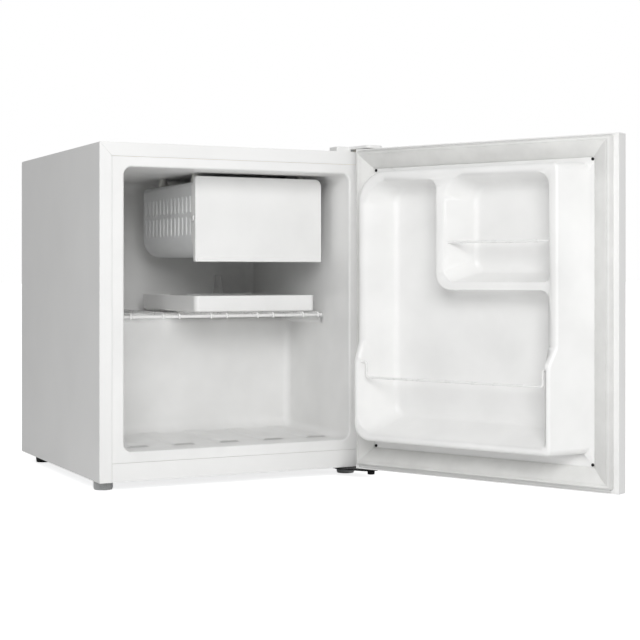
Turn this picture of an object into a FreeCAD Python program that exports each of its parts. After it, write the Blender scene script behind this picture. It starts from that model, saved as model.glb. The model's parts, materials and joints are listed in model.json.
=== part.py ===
import FreeCAD, Part
import math
import os

os.makedirs("parts", exist_ok=True)

# Compact refrigerator with a one-piece door, an open-fronted cooling box and a hermetic compressor.
# Millimetres. While a piece is made, X runs right from the cabinet's left side, Y runs back from its
# front face and Z runs up from the floor. move_home() then puts the origin at the bottom centre of the
# whole object, with the door standing open as it rests.

V = FreeCAD.Vector

# ---- driving dimensions -------------------------------------------------------------------------
WIDTH = 440.0
DEPTH = 425.0
HEIGHT = 490.0
FOOT_HEIGHT = 15.0
SHEET = 1.0                 # steel sheet of case and door
LINER = 2.0                 # formed plastic sheet
DOOR_OPEN = 115.8           # how far the door stands open at rest, degrees
DOOR_GAP = 13.0             # door's inner face to the cabinet's front face, door shut
DOOR_EDGE = 24.0            # door thickness at its edges
DOOR_CROWN = 8.0            # how far the door's outer face bulges past its edges
PIN_FROM_SIDE = 15.0
PIN_FORWARD = 31.0

BASE = FOOT_HEIGHT          # underside of the cabinet body
TOP = FOOT_HEIGHT + HEIGHT
PIN_X = WIDTH - PIN_FROM_SIDE
PIN_Y = -PIN_FORWARD

# ---- cabinet case -------------------------------------------------------------------------------
SIDE_FLANGE = 18.5
TOP_FLANGE = 20.0
REAR_RETURN = 10.0
CASE_CORNER = 3.0
MITRE_GAP = 0.5
RAIL_HEIGHT = 27.0
RAIL_DEPTH = 20.0
BACK_INSET = 20.0           # back panel stands this far in from the case's rear edge
SCREW_HOLE = 2.2

# ---- cold space ---------------------------------------------------------------------------------
COLD_LEFT = 37.0
COLD_RIGHT = WIDTH - 37.0
COLD_FLOOR = BASE + 43.0
COLD_CEILING = BASE + 455.0
HUMP_FACE = 220.0
HUMP_TOP = BASE + 229.0
COLD_BACK = 375.0
COLD_SIDE_FILLET = 12.0
MOUTH_ROUND = 3.0
MACHINE_FRONT = 258.0
MACHINE_TOP = BASE + 192.0
FLOOR_RIBS = 5
FLOOR_RIB_WIDTH = 38.0
FLOOR_RIB_HEIGHT = 3.0
LEDGE_OUT = 7.0
LEDGE_TOP = BASE + 232.0
LEDGE_HEIGHT = 7.0
LEDGE_FRONT = 92.0
TROUGH_X = 337.0            # middle of the drain trough on the back wall
TROUGH_LOW_HALF = 15.0
TROUGH_HIGH_HALF = 5.0
TROUGH_TOP = BASE + 298.0
TROUGH_OUT = 3.0

# ---- cooling box --------------------------------------------------------------------------------
EVAP_LEFT = 175.0
EVAP_RIGHT = 388.0
EVAP_FRONT = 81.0
EVAP_BACK = 306.0
EVAP_BOTTOM = BASE + 327.0
EVAP_TOP = BASE + 442.0
EVAP_SHEET = 1.6
EVAP_LOW_ROUND = 30.0
EVAP_HIGH_ROUND = 8.0
CHANNEL_COUNT = 13
CHANNEL_PITCH = 16.0
CHANNEL_RADIUS = 2.4
FRAME_DEPTH = 7.0
FRAME_LIP = 2.0
FLAP_LEFT = 172.6
FLAP_RIGHT = 387.0
FLAP_BOTTOM = BASE + 318.5
FLAP_TOP = BASE + 449.5
FLAP_FRONT = 65.0
FLAP_SHEET = 2.5
FLAP_RETURN = 6.0
FLAP_PIN_X = 382.0
FLAP_PIN_Y = 71.5
FLAP_PIN_RADIUS = 1.6
RUNNING_GAP = 0.05
EAR_THICK = 4.0
EAR_RADIUS = 2.9
CATCH_Z = BASE + 385.0
CATCH_HALF = 4.0
HANGER_PLACES = [(EVAP_LEFT + 14, 105.0), (EVAP_LEFT + 14, 250.0),
                 (EVAP_RIGHT - 20, 105.0), (EVAP_RIGHT - 20, 250.0)]
HANGER_BORE = 2.1

# ---- shelf and tray -----------------------------------------------------------------------------
SHELF_RAIL_Z = BASE + 234.8
SHELF_RAIL_RADIUS = 2.5
SHELF_WIRE_RADIUS = 1.5
SHELF_LEFT = 46.5
SHELF_RIGHT = 394.0
SHELF_FRONT = 79.0
SHELF_BACK = 366.0
SHELF_FIRST_WIRE = 73.5
SHELF_PAIR_WIDTH = 52.0
SHELF_PAIR_PITCH = 78.4
SHELF_PAIRS = 5
TRAY_LEFT = 180.5
TRAY_RIGHT = 386.0
TRAY_FRONT = 86.0
TRAY_BACK = 328.0
TRAY_BOTTOM = BASE + 240.9
TRAY_TOP = BASE + 266.0
TRAY_WALL = 2.0
TRAY_ROUND = 8.0

# ---- door ---------------------------------------------------------------------------------------
DOOR_BOTTOM = BASE + 1.0
DOOR_TOP = BASE + 491.5
DOOR_FLANGE = 13.0
CAP_EAR = 33.0
CAP_EAR_WIDTH = 6.0
LINER_EDGE = DOOR_FLANGE + 0.3
DYKE_HINGE = 39.0
DYKE_FREE = 396.0
DYKE_LEAN = 0.46            # how far the free side's wall leans back for each millimetre of height
DYKE_BOTTOM = BASE + 53.0
DYKE_TOP = BASE + 452.0
DYKE_HIGH = 50.0            # how far the upper door walls stand in from the door's inner face
DYKE_LOW = 62.0             # the same for the lower door walls
STEP_LOW = BASE + 174.0
STEP_HIGH = BASE + 200.0
POCKET_FLOOR = 4.0
POCKET_FILLET = 14.0
POCKET_DRAFT = 32.0         # the hinge side's wall leans out by this much from rim to floor
POCKET_DRAFT_LOW = 24.0     # the same for the lower wall
RACK_DRAFT = 29.0
RACK_DRAFT_LOW = 15.0
FREE_DRAFT = 6.0            # the same for the walls on the free side
TOP_DRAFT = 12.0
OUTER_DRAFT = 8.0           # the same for the wall that the tall pocket shares with the rack
DRAFT_OFFSET = 1.1          # sideways offset of a leaning wall for each millimetre of thickness
RIM_ROUND = 4.6
POCKET_HINGE = 47.0
POCKET_FREE = 361.0
POCKET_BOTTOM = BASE + 64.0
POCKET_TOP = BASE + 440.0
RACK_OUTER = 180.5
RACK_INNER = 190.0
RACK_UNDER = BASE + 279.0
RACK_FLOOR = BASE + 288.5
GASKET_NEAR = 7.0
GASKET_FAR = 432.0
GASKET_LOW = BASE + 8.0
GASKET_HIGH = BASE + 488.0
GASKET_WIDTH = 28.0
GASKET_THICK = 12.0
ROD_Z = BASE + 345.5
ROD_OUT = 42.0
ROD_RADIUS = 2.0
RAIL_PIVOT_Z = BASE + 169.5
RAIL_RUN_Z = BASE + 146.5
RAIL_OUT = 55.0
RAIL_RADIUS = 1.8
RAIL_CRANK = 12.0
RAIL_CRANK_FREE = 7.0
HINGE_PIN_RADIUS = 3.5
BUSH_WALL = 1.5


CAP_HEIGHT = 18.0
CAP_SHEET = 2.5
LINER_SCREWS = [(37.6, BASE + 457.4), (401.0, BASE + 457.4), (37.6, BASE + 38.6), (401.0, BASE + 38.6)]
LINER_SCREW_HOLE = 1.5

# ---- compressor space ---------------------------------------------------------------------------
COMPRESSOR_X = 262.0
COMPRESSOR_Y = 342.0
COMPRESSOR_RADIUS = 58.0
COMPRESSOR_LOW = BASE + 26.0
COMPRESSOR_HIGH = BASE + 160.0
COMPRESSOR_DOME = 30.0
SEAM_Z = BASE + 92.0
SEAM_HEIGHT = 4.0
SEAM_WIDTH = 3.5
MOUNT_HALF_X = 86.0         # half sizes of the compressor's foot plate
MOUNT_HALF_Y = 60.0
MOUNT_SHEET = 3.0
TERMINAL_Z = (BASE + 66.0, BASE + 86.0)
GROMMET_DX = 72.0
GROMMET_DY = 46.0
GROMMET_HEIGHT = 14.0
GROMMET_BORE = 3.2
FLOOR_PLATE = 1.5
FLOOR_PLATE_RIM = 12.0
RELAY_Z = (BASE + 54.0, BASE + 100.0)
RELAY_OUT = 34.0
RELAY_HALF = 26.0
RELAY_SHEET = 2.5
GAS_PIPE_RADIUS = 2.5
GAS_PIPE_Z = BASE + 70.0
SUCTION_RADIUS = 3.2
SUCTION_Z = (BASE + 56.0, BASE + 130.0)
CAPILLARY_RADIUS = 1.2
CAPILLARY_LOW = BASE + 24.0
DRYER_X = 70.0
DRYER_Y = COMPRESSOR_Y + 30.0
DRYER_LOW = BASE + 50.0
DRYER_RADIUS = 9.0
DRYER_LENGTH = 118.0
DRYER_STUB = 14.0
PAN_HALF = 62.0
PAN_ROUND = 14.0
PAN_SHEET = 2.0
PIPE_GAP = 0.2              # left where one pipe ends at another piece

# ---- back ---------------------------------------------------------------------------------------
CONDENSER_Y = DEPTH - 9.0
CONDENSER_LEFT = 34.0
CONDENSER_RIGHT = WIDTH - 46.0
CONDENSER_END = 12.0        # how far the two end runs pass the bends
CONDENSER_LOW = BASE + 262.0
CONDENSER_FIRST = CONDENSER_LOW + 14.0
CONDENSER_PITCH = 24.0
CONDENSER_PASSES = 9
CONDENSER_TUBE = 2.4
CONDENSER_BEND = 9.0
CONDENSER_DROP = BASE + 185.0
WIRE_RADIUS = 0.8
WIRE_COUNT = 42
WIRE_INSET = 36.0
CLIP_INSET = 26.0
CLIP_HALF = 6.0
CLIP_PLACES = [(x, i) for i in (1, CONDENSER_PASSES - 2)
               for x in (CONDENSER_LEFT + CLIP_INSET, CONDENSER_RIGHT - CLIP_INSET)]
CLIP_SCREW_RISE = 10.0
CLIP_TAB = 3.0
PANEL_SCREWS = [(x, CONDENSER_FIRST + CONDENSER_PITCH * i + CLIP_SCREW_RISE) for x, i in CLIP_PLACES]
THERMO_X = 352.0
THERMO_Z = BASE + 232.0
THERMO_HALF_X = 34.0
THERMO_HALF_Z = 22.0
THERMO_DEEP = 11.0
THERMO_SHEET = 2.5
SPINDLE_RADIUS = 3.0
KNOB_RADIUS = 15.0
GLAND_X = 130.0
GLAND_Z = BASE + 16.8
GLAND_HALF = 9.0
GLAND_BORE = 3.2

# ---- feet and hinges ----------------------------------------------------------------------------
FOOT_X = 20.0
FOOT_Y = 45.0
FOOT_RADIUS = 14.2
FOOT_GROOVES = 28
FOOT_GROOVE_RADIUS = 1.1
STUD_RADIUS = 4.0
STUD_TOP = 14.0
NUT_RADIUS = 8.0
NUT_HEIGHT = 7.0
REAR_FOOT_X = 26.0
REAR_FOOT_Y = 386.0
REAR_FOOT_LOW = 11.0
REAR_FOOT_HIGH = 13.0
REAR_FOOT_PEG = 3.1
TOP_PLATE_X = (WIDTH - 54.0, WIDTH - 4.0)
TOP_PLATE_Y = (4.0, 27.0)
HINGE_SCREWS = [(WIDTH - 47.0, 16.5), (WIDTH - 29.0, 16.5), (WIDTH - 11.0, 16.5)]
BOTTOM_SCREWS = [(WIDTH - 44.0, 25.0), (WIDTH - 29.0, 25.0), (WIDTH - 14.0, 25.0)]
HINGE_PLATE_X = (WIDTH - 56.0, WIDTH - 4.0)
HINGE_PLATE_BACK = 29.5
PLATE = 2.5
HINGE_SCREW_HEAD = 3.8
HINGE_SCREW_SHANK = 2.0
HINGE_SCREW_LENGTH = 14.0
PILOT_RADIUS = 3.0          # holes left in the foam for the screws' tips
COVER_X = (WIDTH - 58.0, WIDTH - 0.5)
COVER_BACK = 30.0
COVER_FRONT = 1.0           # front of the part that stands on the case; the arm reaches on over the door
COVER_ARM = 22.0            # from the cover's left side to its arm
COVER_HIGH = TOP + 7.5
COVER_SHEET = 2.0


# ---- helpers ------------------------------------------------------------------------------------
def box(x, y, z):
    """A block from three (low, high) pairs."""
    return Part.makeBox(x[1] - x[0], y[1] - y[0], z[1] - z[0], V(x[0], y[0], z[0]))


def cylinder(start, end, radius):
    """A round bar between two points."""
    along = V(*end) - V(*start)
    return Part.makeCylinder(radius, along.Length, V(*start), along)


def ring(start, end, outer, inner):
    """A round tube between two points."""
    return cylinder(start, end, outer).cut(cylinder(start, end, inner))


def outline(corners, place):
    """A closed wire through (u, v, radius) corners, each rounded by its own radius."""
    ends = []
    for i, (u, v, radius) in enumerate(corners):
        here = V(u, v, 0)
        if radius == 0:
            ends.append((here, here, here, 0))
            continue
        before = V(corners[i - 1][0], corners[i - 1][1], 0) - here
        after = V(corners[(i + 1) % len(corners)][0], corners[(i + 1) % len(corners)][1], 0) - here
        before.normalize()
        after.normalize()
        half = before.getAngle(after) / 2
        reach = radius / math.tan(half)
        middle = before + after
        middle.normalize()
        middle = here + middle * (radius / math.sin(half) - radius)
        ends.append((here + before * reach, middle, here + after * reach, radius))
    edges = []
    for i, (start, middle, end, radius) in enumerate(ends):
        last = ends[i - 1][2]
        if (start - last).Length > 1e-6:
            edges.append(Part.makeLine(place(last.x, last.y), place(start.x, start.y)))
        if radius > 0:
            arc = Part.Arc(place(start.x, start.y), place(middle.x, middle.y), place(end.x, end.y))
            edges.append(arc.toShape())
    return Part.Wire(edges)


def prism(corners, place, along):
    """The outline's face pushed along a vector."""
    return Part.Face(outline(corners, place)).extrude(V(*along))


def rectangle(u, v, radius):
    """Four corners of a rectangle from two (low, high) pairs, all with one radius."""
    return [(u[0], v[0], radius), (u[1], v[0], radius), (u[1], v[1], radius), (u[0], v[1], radius)]


def on_floor(z):
    return lambda u, v: V(u, v, z)


def on_front(y):
    return lambda u, v: V(u, y, v)


def on_side(x):
    return lambda u, v: V(x, u, v)


def tube(points, radius, bend):
    """A bar swept along straight runs joined by tangent arcs of one bend radius."""
    points = [V(*p) for p in points]
    edges = []
    last = points[0]
    for i in range(1, len(points) - 1):
        before = points[i - 1] - points[i]
        after = points[i + 1] - points[i]
        before.normalize()
        after.normalize()
        half = before.getAngle(after) / 2
        reach = bend / math.tan(half)
        middle = before + after
        middle.normalize()
        start = points[i] + before * reach
        end = points[i] + after * reach
        edges.append(Part.makeLine(last, start))
        edges.append(Part.Arc(start, points[i] + middle * (bend / math.sin(half) - bend), end).toShape())
        last = end
    edges.append(Part.makeLine(last, points[-1]))
    path = Part.Wire(edges)
    section = Part.Wire([Part.makeCircle(radius, points[0], points[1] - points[0])])
    return path.makePipeShell([section], True, False)


def round_edges(shape, radius, wanted):
    """Fillet the edges that a test picks."""
    return shape.makeFillet(radius, [edge for edge in shape.Edges if wanted(edge.BoundBox)])


def joined(shapes):
    """One solid out of overlapping ones."""
    whole = shapes[0].fuse(shapes[1:]) if len(shapes) > 1 else shapes[0]
    return whole.removeSplitter()


def group(shapes):
    """Separate solids kept in one node."""
    return Part.makeCompound(shapes)


def door_place(out):
    """Places (distance from the hinge edge, height) on a plane a given way in from the door's face."""
    return lambda u, v: V(WIDTH - u, out - DOOR_GAP, v)


def door_box(along, out, z):
    """A block in the shut door, from (low, high) pairs along it, in from its face, and up."""
    return box((WIDTH - along[1], WIDTH - along[0]), (out[0] - DOOR_GAP, out[1] - DOOR_GAP), z)


def door_point(along, out, z):
    return (WIDTH - along, out - DOOR_GAP, z)


def screw(head, axis, head_radius, shank_radius, shank):
    """A pan-head screw with its head's underside at a point, pointing along an axis."""
    head_height = head_radius * 0.6
    start = V(*head)
    way = V(*axis)
    dome = Part.makeCylinder(head_radius, head_height, start - way * head_height, way)
    dome = dome.makeFillet(head_radius * 0.25, [e for e in dome.Edges if e.Length > 0.1
                           and abs((e.CenterOfMass - start).dot(way) + head_height) < 1e-6])
    slot = Part.makeCylinder(head_radius * 0.42, head_height * 0.5, start - way * head_height, way, 360)
    return dome.cut(slot).fuse(Part.makeCylinder(shank_radius, shank, start, way)).removeSplitter()


# ---- case ---------------------------------------------------------------------------------------
def case_inside(low):
    """Corners of the room inside the case sheet, from a given height up to its top."""
    x = (SHEET, WIDTH - SHEET)
    high = TOP - SHEET
    return [(x[0], low, 0), (x[1], low, 0), (x[1], high, CASE_CORNER - SHEET),
            (x[0], high, CASE_CORNER - SHEET)]


def cabinet_shell():
    """One folded sheet: left side, top and right side, with front flanges mitred at the top corners."""
    low = BASE
    outer = [(0, low, 0), (WIDTH, low, 0), (WIDTH, TOP, CASE_CORNER), (0, TOP, CASE_CORNER)]
    wrap = prism(outer, on_front(0), (0, DEPTH, 0))
    wrap = wrap.cut(prism(case_inside(low - 1), on_front(-1), (0, DEPTH + 2, 0)))
    front = prism(outer, on_front(0), (0, SHEET, 0))
    front = front.cut(box((SIDE_FLANGE, WIDTH - SIDE_FLANGE), (-1, 2), (low - 1, TOP - TOP_FLANGE)))
    rear = prism(outer, on_front(DEPTH - SHEET), (0, SHEET, 0))
    rear = rear.cut(box((REAR_RETURN, WIDTH - REAR_RETURN), (DEPTH - 2, DEPTH + 1),
                        (low - 1, TOP - REAR_RETURN)))
    shell = joined([wrap, front, rear])
    for side in (0, 1):
        outer_x, inner_x = ((0, SIDE_FLANGE), (WIDTH, WIDTH - SIDE_FLANGE))[side]
        way = V(inner_x - outer_x, 0, -TOP_FLANGE)
        way.normalize()
        across = V(-way.z, 0, way.x) * (MITRE_GAP / 2)
        start = V(outer_x, -1, TOP) + way * 3
        end = V(inner_x, -1, TOP - TOP_FLANGE) + way * 2
        slot = Part.Face(Part.makePolygon([start + across, end + across, end - across, start - across,
                                           start + across])).extrude(V(0, 1 + SHEET * 0.6, 0))
        shell = shell.cut(slot)
    for x, y in HINGE_SCREWS:
        shell = shell.cut(cylinder((x, y, TOP - 3), (x, y, TOP + 1), SCREW_HOLE))
    return shell


def bottom_front_rail():
    """Formed sheet across the bottom of the front, between the side flanges."""
    x = (SIDE_FLANGE + 0.3, WIDTH - SIDE_FLANGE - 0.3)
    face = box(x, (0, SHEET), (BASE, BASE + RAIL_HEIGHT))
    sole = box(x, (0, RAIL_DEPTH), (BASE, BASE + SHEET))
    lip = box(x, (0, 8), (BASE + RAIL_HEIGHT - SHEET, BASE + RAIL_HEIGHT))
    return joined([face, sole, lip])


def base_plate():
    """Floor sheet of the case, in front of the compressor space, holed for the front feet."""
    plate = box((SHEET, WIDTH - SHEET), (RAIL_DEPTH + 0.3, MACHINE_FRONT), (BASE, BASE + SHEET))
    for x in (FOOT_X, WIDTH - FOOT_X):
        plate = plate.cut(cylinder((x, FOOT_Y, BASE - 1), (x, FOOT_Y, BASE + 3), STUD_RADIUS + 0.5))
    for x, y in BOTTOM_SCREWS:
        plate = plate.cut(cylinder((x, y, BASE - 1), (x, y, BASE + 3), SCREW_HOLE))
    return plate


def back_panel():
    """Sheet that closes the foam behind the upper cold space."""
    y = DEPTH - BACK_INSET
    panel = prism(case_inside(MACHINE_TOP), on_front(y - SHEET), (0, SHEET, 0))
    for x, z in PANEL_SCREWS:
        panel = panel.cut(cylinder((x, y - 3, z), (x, y + 1, z), SCREW_HOLE))
    return panel


def compartment_wall():
    """Folded sheet between the foam and the compressor space: front wall and ceiling."""
    x = (SHEET, WIDTH - SHEET)
    wall = box(x, (MACHINE_FRONT - SHEET, MACHINE_FRONT), (BASE + SHEET, MACHINE_TOP))
    ceiling = box(x, (MACHINE_FRONT - SHEET, DEPTH - BACK_INSET - SHEET),
                  (MACHINE_TOP - SHEET, MACHINE_TOP))
    return joined([wall, ceiling])


def cold_space(grow):
    """The hollow of the cold space, or the same form grown outwards by a sheet thickness."""
    g = grow
    profile = [(-5, COLD_FLOOR - g, 0), (HUMP_FACE + g, COLD_FLOOR - g, 18 + g),
               (HUMP_FACE + g, HUMP_TOP - g, 10 - g), (COLD_BACK + g, HUMP_TOP - g, 16 + g),
               (COLD_BACK + g, COLD_CEILING + g, 20 + g), (-5, COLD_CEILING + g, 0)]
    form = prism(profile, on_side(COLD_LEFT - g), (COLD_RIGHT - COLD_LEFT + 2 * g, 0, 0))
    ends = (COLD_LEFT - g, COLD_RIGHT + g)

    def wanted(b):
        flat = b.XMax - b.XMin < 1e-6 and min(abs(b.XMin - x) for x in ends) < 1e-6
        return flat and b.YMax > -5 + 1e-6

    return round_edges(form, COLD_SIDE_FILLET + g, wanted)


def inner_liner():
    """One formed plastic sheet: front flange, walls, compressor hump, shelf ledges and floor ribs."""
    x = (SIDE_FLANGE + 0.3, WIDTH - SIDE_FLANGE - 0.3)
    flange = box(x, (0, LINER), (BASE + RAIL_HEIGHT + 0.3, TOP - TOP_FLANGE - 0.3))
    skin = cold_space(LINER).common(box((0, WIDTH), (0, DEPTH), (BASE, TOP)))
    liner = flange.fuse(skin).cut(cold_space(0))

    def at_mouth(b):
        flat = b.YMax < 1e-6
        inside = b.XMin > COLD_LEFT - 1e-3 and b.XMax < COLD_RIGHT + 1e-3
        return flat and inside and b.ZMin > COLD_FLOOR - 1e-3 and b.ZMax < COLD_CEILING + 1e-3

    liner = round_edges(liner, MOUTH_ROUND, at_mouth)
    extras = []
    gap = (COLD_RIGHT - COLD_LEFT) / FLOOR_RIBS
    for i in range(FLOOR_RIBS):
        middle = COLD_LEFT + gap * (i + 0.5)
        half = FLOOR_RIB_WIDTH / 2
        rise = [(middle - half, COLD_FLOOR - 0.5, 0), (middle + half, COLD_FLOOR - 0.5, 0),
                (middle + half - 6, COLD_FLOOR + FLOOR_RIB_HEIGHT, 5),
                (middle - half + 6, COLD_FLOOR + FLOOR_RIB_HEIGHT, 5)]
        extras.append(prism(rise, on_front(45), (0, HUMP_FACE - 63, 0)))
    for wall, inner in ((COLD_LEFT, COLD_LEFT + LEDGE_OUT), (COLD_RIGHT, COLD_RIGHT - LEDGE_OUT)):
        sole = LEDGE_TOP - LEDGE_HEIGHT
        back = wall - 0.5 if inner > wall else wall + 0.5
        shape = [(back, sole - 5, 0), (inner, sole, 1.5), (inner, LEDGE_TOP, 1.5), (back, LEDGE_TOP, 0)]
        extras.append(prism(shape, on_front(LEDGE_FRONT), (0, HUMP_FACE + 1 - LEDGE_FRONT, 0)))
    liner = joined([liner] + [extra.common(skin) for extra in extras + drain_trough()])
    for x, y in HANGER_PLACES:
        liner = liner.cut(cylinder((x, y, COLD_CEILING - 1), (x, y, COLD_CEILING + 5), SCREW_HOLE))
    return liner


def drain_trough():
    """Two low ribs down the back wall that narrow upwards and lead the defrost water onto the hump."""
    ribs = []
    for side in (-1, 1):
        low = TROUGH_X + side * TROUGH_LOW_HALF
        high = TROUGH_X + side * TROUGH_HIGH_HALF
        half = TROUGH_OUT / 2
        corners = [(low - half, HUMP_TOP + 1, 0), (low + half, HUMP_TOP + 1, 0),
                   (high + half, TROUGH_TOP, 1), (high - half, TROUGH_TOP, 1)]
        ribs.append(prism(corners, on_front(COLD_BACK - TROUGH_OUT), (0, TROUGH_OUT + LINER / 2, 0)))
    return ribs


def cabinet_foam():
    """Rigid foam that fills the case round the liner."""
    block = prism(case_inside(BASE + SHEET), on_front(LINER), (0, DEPTH - BACK_INSET - SHEET - LINER, 0))
    block = block.cut(cold_space(LINER))
    block = block.cut(box((0, WIDTH), (MACHINE_FRONT - SHEET, DEPTH), (BASE, MACHINE_TOP)))
    block = block.cut(box((0, WIDTH), (-1, RAIL_DEPTH + 0.3), (BASE, BASE + RAIL_HEIGHT)))
    for x in (FOOT_X, WIDTH - FOOT_X):
        block = block.cut(cylinder((x, FOOT_Y, BASE), (x, FOOT_Y, BASE + STUD_TOP + 2), NUT_RADIUS + 1))
    for x, y in HINGE_SCREWS:
        block = block.cut(cylinder((x, y, TOP - 16), (x, y, TOP), PILOT_RADIUS))
    for x, y in BOTTOM_SCREWS:
        block = block.cut(cylinder((x, y, BASE), (x, y, BASE + 16), PILOT_RADIUS))
    for x, z in PANEL_SCREWS:
        back = DEPTH - BACK_INSET
        block = block.cut(cylinder((x, back - 20, z), (x, back, z), PILOT_RADIUS))
    for x, y in HANGER_PLACES:
        block = block.cut(cylinder((x, y, COLD_CEILING), (x, y, COLD_CEILING + 14), PILOT_RADIUS))
    return block


# ---- cooling box --------------------------------------------------------------------------------
def evaporator_corners(inset):
    """Section of the cooling box, seen from the front."""
    low = EVAP_LOW_ROUND - inset
    high = EVAP_HIGH_ROUND - inset
    x = (EVAP_LEFT + inset, EVAP_RIGHT - inset)
    z = (EVAP_BOTTOM + inset, EVAP_TOP - inset)
    return [(x[0], z[0], low), (x[1], z[0], low), (x[1], z[1], high), (x[0], z[1], high)]


def evaporator():
    """Aluminium sheet wrapped into a box, with the refrigerant channels standing proud of its sides."""
    length = EVAP_BACK - EVAP_FRONT
    wrap = prism(evaporator_corners(0), on_front(EVAP_FRONT), (0, length, 0))
    wrap = wrap.cut(prism(evaporator_corners(EVAP_SHEET), on_front(EVAP_FRONT - 1), (0, length + 2, 0)))
    parts = [wrap]
    z = (EVAP_BOTTOM + EVAP_LOW_ROUND - 10, EVAP_TOP - 26)
    for i in range(CHANNEL_COUNT):
        y = EVAP_FRONT + 14 + CHANNEL_PITCH * i
        for x in (EVAP_LEFT + CHANNEL_RADIUS * 0.5, EVAP_RIGHT - CHANNEL_RADIUS * 0.5):
            parts.append(cylinder((x, y, z[0]), (x, y, z[1]), CHANNEL_RADIUS))
    whole = joined(parts)
    for x, y in HANGER_PLACES:
        whole = whole.cut(cylinder((x, y, EVAP_TOP - 5), (x, y, EVAP_TOP + 5), SCREW_HOLE))
    hollow = prism(evaporator_corners(EVAP_SHEET), on_front(EVAP_FRONT - 1), (0, length + 2, 0))
    return whole.cut(hollow)


def evaporator_back():
    """Plastic plate that closes the cooling box at the back."""
    plate = prism(evaporator_corners(EVAP_SHEET + 0.1), on_front(EVAP_BACK - 6), (0, 2, 0))
    skirt = prism(evaporator_corners(EVAP_SHEET + 0.1), on_front(EVAP_BACK - 6), (0, 6, 0))
    inner = prism(evaporator_corners(EVAP_SHEET + 2.1), on_front(EVAP_BACK - 4), (0, 6, 0))
    return plate.fuse(skirt.cut(inner)).removeSplitter()


def freezer_frame():
    """Plastic trim round the cooling box's mouth, with two ears that carry the flap's pins."""
    outer = prism(evaporator_corners(-FRAME_LIP), on_front(EVAP_FRONT - 5), (0, FRAME_DEPTH, 0))
    groove = prism(evaporator_corners(-0.1), on_front(EVAP_FRONT), (0, FRAME_DEPTH, 0))
    hole = prism(evaporator_corners(EVAP_SHEET + 2), on_front(EVAP_FRONT - 8), (0, FRAME_DEPTH + 10, 0))
    parts = [outer.cut(groove).cut(hole)]
    for low in (EVAP_BOTTOM + EVAP_LOW_ROUND + 4, EVAP_TOP - EVAP_HIGH_ROUND - 4 - EAR_THICK):
        z = (low, low + EAR_THICK)
        parts.append(box((FLAP_PIN_X - EAR_RADIUS, FLAP_PIN_X + EAR_RADIUS), (FLAP_PIN_Y, EVAP_FRONT - 4), z))
        parts.append(box((FLAP_PIN_X - EAR_RADIUS, EVAP_RIGHT - 1), (EVAP_FRONT - 5, EVAP_FRONT - 3), z))
        parts.append(cylinder((FLAP_PIN_X, FLAP_PIN_Y, z[0]), (FLAP_PIN_X, FLAP_PIN_Y, z[1]), EAR_RADIUS))
    frame = joined(parts)
    bore = cylinder((FLAP_PIN_X, FLAP_PIN_Y, BASE), (FLAP_PIN_X, FLAP_PIN_Y, TOP),
                    FLAP_PIN_RADIUS + RUNNING_GAP)
    frame = frame.cut(bore)
    z = (CATCH_Z - CATCH_HALF, CATCH_Z + CATCH_HALF)
    finger = box((FLAP_LEFT - 2.8, FLAP_LEFT - 0.4), (FLAP_FRONT + 3, EVAP_FRONT - 3), z)
    arm = box((FLAP_LEFT - 2.8, EVAP_LEFT + 0.5), (EVAP_FRONT - 5, EVAP_FRONT - 3), z)
    return joined([frame, finger, arm])


def evaporator_hangers():
    """Four plastic posts that hang the cooling box from the ceiling."""
    posts = []
    for x, y in HANGER_PLACES:
        post = Part.makeCone(8, 5.5, COLD_CEILING - EVAP_TOP, V(x, y, EVAP_TOP), V(0, 0, 1))
        bore = cylinder((x, y, EVAP_TOP - 1), (x, y, COLD_CEILING + 1), HANGER_BORE)
        posts.append(post.cut(bore))
    return group(posts)


def evaporator_screws():
    """Four screws, from inside the cooling box up through the posts."""
    way = (0, 0, 1)
    length = COLD_CEILING - EVAP_TOP + EVAP_SHEET + 10
    return group([screw((x, y, EVAP_TOP - EVAP_SHEET), way, 4, 1.9, length) for x, y in HANGER_PLACES])


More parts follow.
